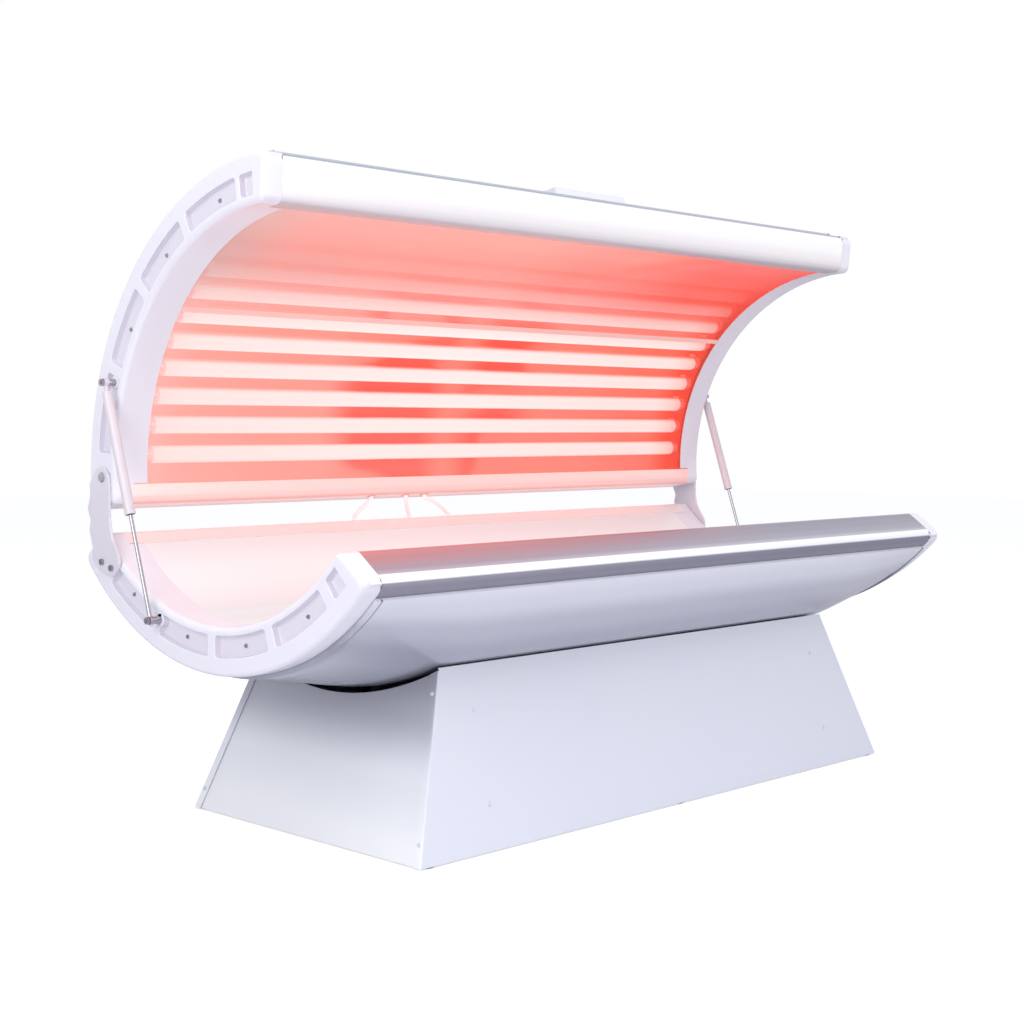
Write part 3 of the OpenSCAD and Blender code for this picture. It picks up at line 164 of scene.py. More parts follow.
def new_material(name, **sockets):
    """A material with one Principled shader, its plain sockets set, and its tree."""
    material = bpy.data.materials.new(name)
    material.use_nodes = True
    shader = material.node_tree.nodes["Principled BSDF"]
    for socket, value in sockets.items():
        shader.inputs[socket.replace("_", " ")].default_value = value
    return material, material.node_tree, shader


def share_along(tree, axis, low, high):
    """How far a point lies along an axis between two places, from 0 to 1."""
    place = add_node(tree, "ShaderNodeTexCoord").outputs["Object"]
    part = add_node(tree, "ShaderNodeSeparateXYZ", {"Vector": place}).outputs[axis]
    links = {"Value": part, "From Min": low, "From Max": high}
    return add_node(tree, "ShaderNodeMapRange", links).outputs[0]


def add_mottle(tree, shader, colour, other, spot):
    """Soft patches of a second colour, about spot metres across, for uneven coats and mouldings."""
    place = add_node(tree, "ShaderNodeTexCoord").outputs["Object"]
    patches = {"Vector": place, "Scale": 1 / spot, "Detail": 3.0}
    patches = add_node(tree, "ShaderNodeTexNoise", patches).outputs[0]
    links = {0: patches, 6: linear(colour), 7: linear(other)}
    mottled = add_node(tree, "ShaderNodeMix", links, data_type="RGBA").outputs[2]
    tree.links.new(mottled, shader.inputs["Base Color"])


def add_relief(tree, shader, scale, detail, depth, strength, place=None):
    """Soft noise as relief of a depth in metres, on the piece itself unless a place is given."""
    place = place or add_node(tree, "ShaderNodeTexCoord").outputs["Object"]
    noise = {"Vector": place, "Scale": scale, "Detail": detail}
    noise = add_node(tree, "ShaderNodeTexNoise", noise).outputs[0]
    bump = add_node(tree, "ShaderNodeBump", {"Height": noise, "Distance": depth, "Strength": strength})
    tree.links.new(bump.outputs[0], shader.inputs["Normal"])


# Powder coat on steel, baked: satin, with an orange peel that is drawn coarse enough to show.
coat_finish = {"Roughness": 0.38, "Coat_Weight": 0.15, "Coat_Roughness": 0.25}
orange_peel = 0.004
peel_depth = 0.00012
powder_coat, tree, shader = new_material("powder_coated_steel", **coat_finish)
add_mottle(tree, shader, sheet_white, "dcdfea", 0.35)
add_relief(tree, shader, 1 / orange_peel, 2.0, peel_depth, 0.5)

# The same coat on the ends, with painted shade that darkens it towards the top, where the bed keeps the light
# off.
end_shade_stops = [(0.0, "fafbfe"), (0.4, "e8eaf0"), (0.75, "b4b6c0"), (1.0, "a0a2ae")]
end_coat_painted_shade, tree, shader = new_material("powder_coated_end_steel_painted_shade", **coat_finish)
level = share_along(tree, "Z", 0.0, ped_height)
end_painted_shade = add_node(tree, "ShaderNodeValToRGB", {"Fac": level}, end_shade_stops).outputs[0]
tree.links.new(end_painted_shade, shader.inputs["Base Color"])


def dress(names, material):
    """Gives CAD nodes a material."""
    for name in names:
        mesh = frame["nodes"][name].data
        mesh.materials.clear()
        mesh.materials.append(material)


# Pedestal frame, feet and fittings
# A welded frame of painted square tube with two cradles, rubber-soled levelling feet, zinc screws,
# a painted control box on a tray and a black inlet. Little of it shows under the panels.

# Chassis paint on welded tube: dull, almost black, slightly uneven.
frame_paint, tree, shader = new_material("black_chassis_paint", Roughness=0.5)
add_mottle(tree, shader, "333a4c", "2c3344", 0.05)
dress(["pedestal_frame", "pedestal_stand", "shell_cradles"], frame_paint)

# Moulded rubber: black and matt.
black_rubber, tree, shader = new_material("moulded_rubber", Roughness=0.75)
add_mottle(tree, shader, "18181a", "222225", 0.01)
dress(["levelling_feet"], black_rubber)

# Silicone rubber, with the lamps' pink light painted on it: satin and soft.
grommet_painted_pink, tree, shader = new_material("pale_silicone_rubber", Roughness=0.55)
add_mottle(tree, shader, "f6cfc9", "efc4be", 0.01)
dress(["bed_lead_grommets", "canopy_lead_grommets"], grommet_painted_pink)

# Zinc plate: a grey metal shine with fine spangle.
zinc, tree, shader = new_material("zinc_plate", Metallic=1.0, Roughness=0.28)
add_mottle(tree, shader, "b9bcc4", "9a9da6", 0.002)
dress(["bed_cap_screws", "canopy_cap_screws"], zinc)
dress(["pedestal_screws"], powder_coat)

# Enamel on the electrical boxes: pale grey with a low gloss.
box_paint, tree, shader = new_material("grey_enamel", Roughness=0.4)
add_mottle(tree, shader, "c9ccd1", "c0c4ca", 0.06)
dress(["supply_box", "bed_ballasts", "canopy_ballasts"], box_paint)

# Moulded nylon: black with a dull sheen.
black_nylon, tree, shader = new_material("black_nylon", Roughness=0.45)
add_mottle(tree, shader, "1a1b1d", "232427", 0.004)
dress(["power_inlet", "bed_fan_frame", "canopy_fan_frame", "bed_fan_rotor", "canopy_fan_rotor"], black_nylon)

# Galvanised sheet: cold metal with patches of crystal.
galvanised, tree, shader = new_material("galvanised_sheet", Metallic=1.0, Roughness=0.35)
add_mottle(tree, shader, "a9adb3", "c2c6cb", 0.012)
dress(["bed_ribs", "canopy_ribs", "bed_end_plates", "canopy_end_plates"], galvanised)

# Outer shells
# Each half is skinned with a laminated sheet 3 mm thick, rolled to a radius of 617 mm. A raised
# bead runs round each end beside the cap, and the bed's shell bellies out towards its middle.
bed_axis_z = 0.9553
canopy_axis = (0, -0.177054, 0.72316)
canopy_tilt = math.radians(131.5)
bed_place = Matrix.Translation((0, 0, bed_axis_z))
canopy_place = Matrix.Translation(canopy_axis) @ Matrix.Rotation(canopy_tilt, 4, "X")
half_place = {"bed": bed_place, "canopy": canopy_place}
half_body = {"bed": "base", "canopy": "canopy"}
half_turn = math.radians(46.3)
half_length = 0.97
cap_band = 0.045
end_gap = 0.0003
sheet_end = half_length - cap_band - end_gap
shell_radius = 0.617
shell_wall = 0.003
shell_gap = math.radians(1.4)
shell_turn = half_turn - shell_gap
bead = [
    (0.0, 0.0), (0.0045, 0.0), (0.006, 0.0018), (0.0095, 0.0018), (0.0115, -0.0014),
    (0.0145, -0.0014), (0.016, 0.0),
]
hem_radius = 0.6103
groove_low = hem_radius + 0.001
groove_top = shell_radius - 0.001
shell_steps = 96
merge_reach = 1e-6
sharp_edge = math.radians(35)
close_by = 1e-5
near = 1e-4


def spin(bm, geom, angle, steps):
    """Spins vertices and edges about the section's axis and gives the last copy of them."""
    return bmesh.ops.spin(
        bm, geom=geom, cent=(0, 0, 0), axis=(1, 0, 0), angle=angle, steps=steps, use_duplicate=False
    )["geom_last"]


def sweep(bm, points, start, end, steps):
    """Spins a chain of (x, radius) points about the section's axis between two angles."""
    verts = [bm.verts.new((x, 0, -radius)) for x, radius in points]
    edges = [bm.edges.new(pair) for pair in zip(verts, verts[1:])]
    bmesh.ops.rotate(bm, verts=verts, cent=(0, 0, 0), matrix=Matrix.Rotation(start, 3, "X"))
    spin(bm, verts + edges, end - start, steps)


def polar(point):
    """The radius of a point of the section and its angle, counted from straight down."""
    return math.hypot(point.y, point.z), math.atan2(point.y, -point.z)


def verts_of(geom):
    return [g for g in geom if isinstance(g, bmesh.types.BMVert)]


def edges_of(geom):
    return [g for g in geom if isinstance(g, bmesh.types.BMEdge)]


def pull_edges(bm, edges):
    """Extrudes open edges and gives the new vertices and edges."""
    grown = bmesh.ops.extrude_edge_only(bm, edges=edges)["geom"]
    return verts_of(grown), edges_of(grown)


def bevel(bm, geom, offset, segments, affect="EDGES"):
    """Rounds edges, or the corners of a flat outline."""
    bmesh.ops.bevel(
        bm, geom=geom, offset=offset, segments=segments, profile=0.5, affect=affect, material=-1
    )


def finish_piece(bm, name, material, body, place=None, replaces=(), weighted=False):
    """Turns a bmesh into a piece in its place, shaded smooth except at sharp edges, on its body."""
    if place is not None:
        bmesh.ops.transform(bm, matrix=place, verts=bm.verts)
    bmesh.ops.recalc_face_normals(bm, faces=bm.faces)
    mesh = bpy.data.meshes.new(name)
    bm.to_mesh(mesh)
    bm.free()
    mesh.shade_smooth()
    mesh.set_sharp_from_angle(angle=sharp_edge)
    for item in material if isinstance(material, list) else [material]:
        mesh.materials.append(item)
    piece = bpy.data.objects.new(name, mesh)
    bpy.context.scene.collection.objects.link(piece)
    if weighted:
        piece.modifiers.new("even_shading", "WEIGHTED_NORMAL").keep_sharp = True
    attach(piece, body)
    if replaces:
        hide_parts(*replaces)


def finish_half(bm, half, piece, material, node, weighted=False):
    """Finishes a piece of the bed or the canopy, drawn in the section, in its place on its half."""
    name, nodes = f"{half}_{piece}", [f"{half}_{node}"]
    finish_piece(bm, name, material, half_body[half], half_place[half], nodes, weighted)


# Gloss laminate over sheet: pale grey and glossy enough to show the floor and the horizon, with a painted
# reflection round the section, near white at one edge, grey across the middle and lighter at the
# other edge, and painted shade in the groove beside each bead.
shell_painted_reflection, tree, shader = new_material(
    "gloss_laminated_sheet_painted_reflection", Roughness=0.22, Coat_Weight=0.6, Coat_Roughness=0.06
)
shell_reflection_stops = [
    (0.0, "e6e8f1"), (0.035, "dcdfe9"), (0.09, "bcbfcb"), (0.16, "a5a8b5"), (0.24, "b0b3c0"),
    (0.5, "a9acb9"), (1.0, "c4c7d2"),
]
around = add_node(tree, "ShaderNodeAttribute", attribute_name="around").outputs["Fac"]
groove_shade_mask = add_node(tree, "ShaderNodeAttribute", attribute_name="groove_shade").outputs["Fac"]
reflection_tone = add_node(tree, "ShaderNodeValToRGB", {"Fac": around}, shell_reflection_stops).outputs[0]
links = {0: groove_shade_mask, 6: reflection_tone, 7: linear("5a6072")}
reflection_tone = add_node(tree, "ShaderNodeMix", links, data_type="RGBA").outputs[2]
tree.links.new(reflection_tone, shader.inputs["Base Color"])
wave = 0.0015
add_relief(tree, shader, 3.0, 1.0, wave, 0.35)

belly_depth = 0.047
belly_start = 0.907
belly_full = 0.66
belly_full_turn = math.radians(26.7)
belly_soft = 0.25
belly_stations = [0.88, 0.83, 0.78, 0.74, 0.71, 0.69, 0.67, 0.65, 0.63, 0.61, 0.59]


def belly(x, angle):
    """How far the bed's shell stands out past its ends, at a place along it and an angle."""
    along = (belly_start - abs(x)) / (belly_start - belly_full)
    if along > 1 - belly_soft:
        rounded = along - (along - 1 + belly_soft) ** 2 / (4 * belly_soft)
        along = min(1, rounded) if along < 1 + belly_soft else 1
    across = min(1, max(0, (shell_turn - abs(angle)) / (shell_turn - belly_full_turn)))
    return belly_depth * max(0, along) * math.sin(math.pi / 2 * across)


for half in ("bed", "canopy"):
    bm = bmesh.new()
    left = [(-sheet_end, hem_radius)] + [(-sheet_end + x, shell_radius + rise) for x, rise in bead]
    left += [(-x, shell_radius) for x in belly_stations]
    right = [(-x, radius) for x, radius in reversed(left)]
    sweep(bm, left + right, -shell_turn, shell_turn, shell_steps)
    edges = [e for e in bm.edges if e.is_boundary]
    edges = [e for e in edges if all(abs(abs(polar(v.co)[1]) - shell_turn) < near for v in e.verts)]
    for v in pull_edges(bm, edges)[0]:
        share = hem_radius / polar(v.co)[0]
        v.co.y *= share
        v.co.z *= share
    bmesh.ops.remove_doubles(bm, verts=bm.verts, dist=merge_reach)
    around = bm.verts.layers.float.new("around")
    groove_shade = bm.verts.layers.float.new("groove_shade")
    # The section's angle carries the painted reflection, and a mask the painted shade in each groove.
    for v in bm.verts:
        radius, angle = polar(v.co)
        v[around] = 0.5 + 0.5 * angle / shell_turn
        v[groove_shade] = 1.0 if groove_low < radius < groove_top else 0.0
    if half == "bed":
        for v in bm.verts:
            radius, angle = polar(v.co)
            if radius > shell_radius - near:
                grown = (radius + belly(v.co.x, angle)) / radius
                v.co.y *= grown
                v.co.z *= grown
    bmesh.ops.recalc_face_normals(bm, faces=bm.faces)
    bmesh.ops.solidify(bm, geom=bm.faces[:], thickness=shell_wall)
    finish_half(bm, half, "shell", shell_painted_reflection, "outer_shell")

# Sheets of the pedestal
# Four panels of 1.5 mm sheet steel, screwed to each other through folded corner flanges. The top
# edges of the end panels and the flanges follow the curve of the shell's belly just below it.
ped_y = -0.0227
ped_low = Vector((0.7789, 0.365))
ped_high = Vector((0.652, 0.2774))
sheet_wall = 0.0015
sheet_foot = 0.003
sheet_bend = 0.0035
corner_flange = 0.022
flange_gap = 0.0004
curve_steps = 32
curve_tries = 12
end_facing = 0.7
slit = 0.0085
under_shell = shell_radius + belly_depth + slit
inlet_hole = 0.0195
rear_normal = Vector((0, 0.97148, 0.23714))
inlet_centre = Vector((0.5, 0.31384, 0.11658))


def ped_corner(side_x, side_y, z, inset_x=0.0, inset_y=0.0):
    """A point at a height on one of the pedestal's four corner lines, or inside it."""
    half = ped_low.lerp(ped_high, z / ped_height)
    return Vector((side_x * (half.x - inset_x), ped_y + side_y * (half.y - inset_y), z))


def below_shell(side_x, side_y, inset_x, inset_y):
    """The point of such a line that meets the curve under the shell."""
    z = ped_height
    for _ in range(curve_tries):
        y = ped_corner(side_x, side_y, z, inset_x, inset_y).y
        z = bed_axis_z - math.sqrt(under_shell**2 - y**2)
    return ped_corner(side_x, side_y, z, inset_x, inset_y)


def sheet_panel(bm, name, node, bends=()):
    """Turns a flat or folded outline outwards, rounds its folds and gives it the sheet's wall."""
    bmesh.ops.recalc_face_normals(bm, faces=bm.faces)
    first = bm.faces[:][0]
    if first.normal.dot(first.calc_center_median() - Vector((0, ped_y, ped_height / 2))) < 0:
        bmesh.ops.reverse_faces(bm, faces=bm.faces)
    if bends:
        bevel(bm, bends, sheet_bend, 4)
    bmesh.ops.solidify(bm, geom=bm.faces[:], thickness=sheet_wall)
    bm.normal_update()
    # Faces of the end panels take the coat with the painted shade.
    for f in bm.faces:
        f.material_index = 1 if abs(f.normal.x) > end_facing else 0
    finish_piece(bm, name, [powder_coat, end_coat_painted_shade], "base", replaces=[node])


for side_y, side in ((-1, "front"), (1, "rear")):
    bm = bmesh.new()
    foot = {s: bm.verts.new(ped_corner(s, side_y, sheet_foot)) for s in (-1, 1)}
    low_top = {s: bm.verts.new(below_shell(s, side_y, 0, 0)) for s in (-1, 1)}
    outline = [foot[-1], foot[1], low_top[1]]
    if side_y < 0:
        outline += [bm.verts.new(ped_corner(s, side_y, ped_height)) for s in (1, -1)]
    outline.append(low_top[-1])
    if side_y < 0:
        bm.faces.new(outline)
    else:
        rim = [bm.edges.new(pair) for pair in zip(outline, outline[1:] + outline[:1])]
        hole = bmesh.ops.create_circle(bm, cap_ends=False, radius=inlet_hole, segments=32)["verts"]
        facing_back = Vector((0, 0, 1)).rotation_difference(rear_normal).to_matrix()
        bmesh.ops.rotate(bm, verts=hole, cent=(0, 0, 0), matrix=facing_back)
        bmesh.ops.translate(bm, verts=hole, vec=inlet_centre)
        rim += list({e for v in hole for e in v.link_edges})
        bmesh.ops.triangle_fill(
            bm, use_beauty=True, use_dissolve=False, edges=rim, normal=rear_normal
        )
    bends = []
    for s in (-1, 1):
        inner_foot = bm.verts.new(ped_corner(s, side_y, sheet_foot, 0, corner_flange))
        inner_top = bm.verts.new(below_shell(s, side_y, 0, corner_flange))
        bm.faces.new([foot[s], low_top[s], inner_top, inner_foot])
        bends.append(bm.edges.get((foot[s], low_top[s])))
    sheet_panel(bm, side + "_sheet", f"pedestal_{side}_panel", bends)

for s, side in ((-1, "left"), (1, "right")):
    bm = bmesh.new()
    behind = 2 * sheet_wall + flange_gap
    front_end, rear_end = [below_shell(s, side_y, behind, behind) for side_y in (-1, 1)]
    outline = [ped_corner(s, side_y, sheet_foot, behind, behind) for side_y in (-1, 1)] + [rear_end]
    for i in range(1, curve_steps):
        y = rear_end.y + (front_end.y - rear_end.y) * i / curve_steps
        z = bed_axis_z - math.sqrt(under_shell**2 - y**2)
        outline.append(Vector((ped_corner(s, 1, z, behind).x, y, z)))
    bm.faces.new([bm.verts.new(p) for p in outline + [front_end]])
    sheet_panel(bm, side + "_end_sheet", f"pedestal_{side}_panel")

# Edge rails
# A bent and satin anodised aluminium sheet 2.2 mm thick closes each long edge. It wraps the nose
# with a tight inner and a wide outer bend, and its upper leg lies over the edge of the acrylic.
lying_radius = 0.514
cap_radius = 0.610
rail_wall = 0.0022
nose_lap = math.radians(1.3)
rail_leg_in = math.radians(1.6)
rail_leg_out = math.radians(2.6)
inner_bend = 0.012
outer_bend = 0.030
rail_change = (-0.9, 0.35)
draw_lines = (0.6, 260.0, 260.0)
draw_depth = 0.0001
inner_centre = Vector((0.002, -(lying_radius + inner_bend)))
outer_centre = Vector((-0.009, -(cap_radius - outer_bend)))
between = (outer_centre - inner_centre).normalized()
lean = (inner_bend - outer_bend) / (outer_centre - inner_centre).length
face_out = lean * between + math.sqrt(1 - lean * lean) * Vector((-between.y, between.x))
face_reach = inner_centre.dot(face_out) + inner_bend
inner_corner = ((face_reach + lying_radius * face_out.y) / face_out.x, -lying_radius)
outer_corner = ((face_reach + cap_radius * face_out.y) / face_out.x, -cap_radius)
inner_offset = inner_bend * math.tan((math.pi / 2 + math.asin(face_out.y)) / 2)
outer_offset = outer_bend * math.tan((math.pi / 2 - math.asin(face_out.y)) / 2)


def at_edge(point):
    """A point of the rear nose, given beside the end of the arc, as (y, z) of the section."""
    y, z = point
    cos, sin = math.cos(half_turn), math.sin(half_turn)
    return (y * cos - z * sin, y * sin + z * cos)


def on_arc(angle, radius):
    """A point of the section at an angle from the arc's end, as at_edge takes it."""
    return (radius * math.sin(angle), -radius * math.cos(angle))


def add_glow(tree, shader, colour, strength):
    """Light given off by a surface: a lamp's own, or the lamps' light painted on a surface that is no lamp.
    """
    feed(tree, shader.inputs["Emission Color"], colour)
    feed(tree, shader.inputs["Emission Strength"], strength)


def anodised_painted_light(name, left_light_stops, right_light_stops, painted_glow):
    """Satin anodised sheet: a soft metal sheen and draw lines set 4 mm apart so that they show. Its
    colour across the bend is painted reflection, highlight and shade, also given off as a painted glow.
    """
    material, tree, shader = new_material(name, Metallic=0.35, Roughness=0.26)
    reach = add_node(tree, "ShaderNodeAttribute", attribute_name="reach").outputs["Fac"]
    left = add_node(tree, "ShaderNodeValToRGB", {"Fac": reach}, left_light_stops).outputs[0]
    right = add_node(tree, "ShaderNodeValToRGB", {"Fac": reach}, right_light_stops).outputs[0]
    links = {0: share_along(tree, "X", *rail_change), 6: left, 7: right}
    colour = add_node(tree, "ShaderNodeMix", links, data_type="RGBA").outputs[2]
    tree.links.new(colour, shader.inputs["Base Color"])
    add_glow(tree, shader, colour, painted_glow)
    place = add_node(tree, "ShaderNodeTexCoord").outputs["Object"]
    lines = add_node(tree, "ShaderNodeMapping", {"Vector": place, "Scale": draw_lines}).outputs[0]
    add_relief(tree, shader, 1.0, 2.0, draw_depth, 0.25, lines)
    return material


def rail(half, name, node, mirrored, material):
    """The bent sheet round the nose, drawn at the rear and mirrored for the other edge."""
    bm = bmesh.new()
    upper_leg = -nose_lap - rail_leg_in
    lower_leg = -nose_lap - rail_leg_out
    chain = [on_arc(upper_leg, lying_radius), on_arc(upper_leg / 2, lying_radius)]
    chain += [inner_corner, outer_corner]
    chain += [on_arc(lower_leg / 2, cap_radius), on_arc(lower_leg, cap_radius)]
    verts = [bm.verts.new((-sheet_end, *at_edge(p))) for p in chain]
    edges = [bm.edges.new(pair) for pair in zip(verts, verts[1:])]
    bmesh.ops.translate(bm, verts=pull_edges(bm, edges)[0], vec=(2 * sheet_end, 0, 0))
    for corner, offset, steps in ((2, inner_offset, 6), (3, outer_offset, 10)):
        place_yz = Vector(at_edge(chain[corner]))
        edge = [e for e in bm.edges if all((v.co.yz - place_yz).length < close_by for v in e.verts)]
        bevel(bm, edge, offset, steps)
    bmesh.ops.recalc_face_normals(bm, faces=bm.faces)
    bmesh.ops.solidify(bm, geom=bm.faces[:], thickness=rail_wall)
    reach = bm.verts.layers.float.new("reach")
    for v in bm.verts:
        v[reach] = (polar(v.co)[0] - lying_radius) / (cap_radius - lying_radius)
    if mirrored:
        bmesh.ops.scale(bm, verts=bm.verts, vec=(1, -1, 1))
    finish_half(bm, half, name, material, node)


# Painted light across each rail's bend, from the upper leg to the lower: on the bed's front rail a painted
# rose reflection of the lamps that turns grey towards the right, a painted white highlight on the nose and
# painted shade under it; on the canopy's front rail a painted dark line at its outer edge; on the other two
# pale pink bands and the lamps' red, painted strongest at the outer edge.
front_left_light = [
    (0.0, "eeb0ac"), (0.06, "d48c8c"), (0.3, "c08388"), (0.6, "aa8d99"), (0.74, "b3a3af"),
    (0.775, "ffffff"), (0.905, "ffffff"), (0.94, "9b98a6"), (1.0, "8d8b99"),
]
front_right_light = [
    (0.0, "c4bec6"), (0.06, "858494"), (0.35, "8f8e9d"), (0.6, "9a9aa8"), (0.74, "b3b3bf"),
    (0.775, "f8f9fc"), (0.905, "eceef4"), (0.94, "8a8a9a"), (1.0, "80808f"),
]
top_light_stops = [
    (0.0, "c0b9be"), (0.1, "e6e0e3"), (0.3, "f2eeef"), (0.55, "f8f7f8"), (0.9, "f6f6f9"), (0.95, "8d94a6"),
    (1.0, "666f84"),
]
lower_light_stops = [
    (0.0, "f3c9c4"), (0.12, "eea49a"), (0.2, "f3cbc6"), (0.45, "f9dedb"), (0.55, "f2c2bc"), (0.6, "f9dedb"),
    (0.7, "f2aca2"), (0.8, "fad6d1"), (0.93, "f58a76"), (1.0, "f9603f"),
]
rear_light_stops = [
    (0.0, "f6e4e2"), (0.1, "eac4bf"), (0.3, "f6e9e8"), (0.5, "f0d8d5"), (0.7, "f6ecec"), (0.85, "f0ccc7"),
    (0.95, "ee907e"), (1.0, "e87a66"),
]
front_painted_light = anodised_painted_light("anodised_front_painted_light", front_left_light, front_right_light, 0.08)
rear_painted_light = anodised_painted_light("anodised_rear_painted_light", rear_light_stops, rear_light_stops, 0.14)
top_painted_light = anodised_painted_light("anodised_top_painted_light", top_light_stops, top_light_stops, 0.1)
lower_painted_light = anodised_painted_light("anodised_lower_painted_light", lower_light_stops, lower_light_stops, 0.28)
rail("bed", "front_edge_rail", "front_rail", True, front_painted_light)
rail("bed", "rear_edge_rail", "rear_rail", False, rear_painted_light)
rail("canopy", "front_edge_rail", "front_rail", False, top_painted_light)
rail("canopy", "lower_edge_rail", "lower_rail", True, lower_painted_light)

# End caps
# Four ABS mouldings in glossy white close the ends. Each face has a rounded rim and recessed
# pockets between ribs, with bosses for the strut's stud and the hinge, and a lip over the acrylic.
cap_round = 0.0105
pocket_inner = 0.528
pocket_outer = 0.576
pocket_middle = (pocket_inner + pocket_outer) / 2
pocket_corner = 0.009
pocket_steps = 4
pocket_draft = 0.0008
pocket_rim = 0.0035
pocket_depth = 0.013
boss_edge = 0.0008
boss_round = 0.002
boss_draft = 0.0008
cap_wall = 0.004
cap_face = 0.017
cap_step = math.radians(1.4)
wall_facing = 0.5
rib_half = math.radians(1.04)
rib_angles = [math.radians(19.6 * i) for i in (-2, -1, 0, 1, 2)]
end_pocket_middle = math.radians(43.1)
end_pocket_half = math.radians(2.6)
lip_wall = 0.0022
lip_gap = 0.0001
bend_room = 0.96
lip_reach = 0.035
lip_turn = math.radians(43.2)
lip_steps = 64
shade_inner = pocket_inner - 0.006
shade_outer = pocket_outer + 0.008
shade_turn = half_turn - 0.02
shade_depth = 0.002

# Moulded ABS: glossy white with faint sink marks, and painted shade on the walls of its pockets and
# less on their floors.
gloss_abs, tree, shader = new_material(
    "glossy_moulded_abs", Roughness=0.2, Coat_Weight=0.25, Coat_Roughness=0.08
)
add_mottle(tree, shader, "f3f1f9", "eeecf6", 0.3)
plain = shader.inputs["Base Color"].links[0].from_socket
depth = add_node(tree, "ShaderNodeAttribute", attribute_name="sunk").outputs["Fac"]
wall_shade_stops = [(0.0, "000000"), (0.4, "ffffff"), (0.85, "ffffff"), (1.0, "808080")]
wall_shade = add_node(tree, "ShaderNodeValToRGB", {"Fac": depth}, wall_shade_stops).outputs[0]
links = {0: wall_shade, 6: plain, 7: linear("bfaebd")}
shaded = add_node(tree, "ShaderNodeMix", links, data_type="RGBA").outputs[2]
tree.links.new(shaded, shader.inputs["Base Color"])
sink_mark = 0.0004
add_relief(tree, shader, 14.0, 1.0, sink_mark, 0.3)


def pocket(bm, start, end):
    """Sinks a rounded pocket between two angles into the flat face at x = 0."""
    middle = (start + end) / 2
    inside = []
    for f in bm.faces:
        centre = f.calc_center_median()
        radius, angle = polar(centre)
        if pocket_inner < radius < pocket_outer and start < angle < end and abs(centre.x) < close_by:
            inside.append(f)
    floor_face = bmesh.ops.dissolve_faces(bm, faces=inside, use_verts=False)["region"][0]
    corners = []
    for v in floor_face.verts:
        radius, angle = polar(v.co)
        at_end = min(abs(angle - start), abs(angle - end)) < near
        at_side = min(abs(radius - pocket_inner), abs(radius - pocket_outer)) < close_by
        if at_end and at_side:
            corners.append(v)
    bevel(bm, corners, pocket_corner, 5, "VERTICES")
    centre = Vector((0, pocket_middle * math.sin(middle), -pocket_middle * math.cos(middle)))
    flat = [f for f in bm.faces if abs(f.calc_center_median().x) < close_by]
    floor_face = min(flat, key=lambda f: (f.calc_center_median() - centre).length)
    turns = [math.pi / 2 * i / pocket_steps for i in range(pocket_steps + 1)]
    bends = [(math.sin(b) - math.sin(a), math.cos(a) - math.cos(b)) for a, b in zip(turns, turns[1:])]
    insets = [(pocket_rim * inward, pocket_rim * down) for inward, down in bends]
    insets.append((pocket_draft, pocket_depth - 2 * pocket_rim))
    insets += [(pocket_rim * down, pocket_rim * inward) for inward, down in bends]
    for inward, down in insets:
        bmesh.ops.inset_region(
            bm, faces=[floor_face], thickness=inward, depth=-down, use_even_offset=True
        )


def boss(bm, place, radius, inner, depth):
    """A round boss that stands from a pocket's floor to the face, with a rounded rim and a hole."""
    ring = bmesh.ops.create_circle(bm, cap_ends=False, radius=inner, segments=32)["verts"]
    bmesh.ops.rotate(bm, verts=ring, cent=(0, 0, 0), matrix=Matrix.Rotation(math.pi / 2, 3, "Y"))
    bmesh.ops.translate(bm, verts=ring, vec=(depth, *place))
    edges = list({e for v in ring for e in v.link_edges})
    profile = [
        (inner, boss_edge), (inner + boss_edge, 0.0), (radius - boss_round, 0.0),
        (radius - 0.3 * boss_round, 0.3 * boss_round), (radius, boss_round), (radius + boss_draft, depth),
    ]
    size, level = inner, depth
    for target, x in profile:
        verts, edges = pull_edges(bm, edges)
        centre = Vector((level, *place))
        grow = (1, target / size, target / size)
        bmesh.ops.scale(bm, verts=verts, vec=grow, space=Matrix.Translation(-centre))
        bmesh.ops.translate(bm, verts=verts, vec=(x - level, 0, 0))
        size, level = target, x


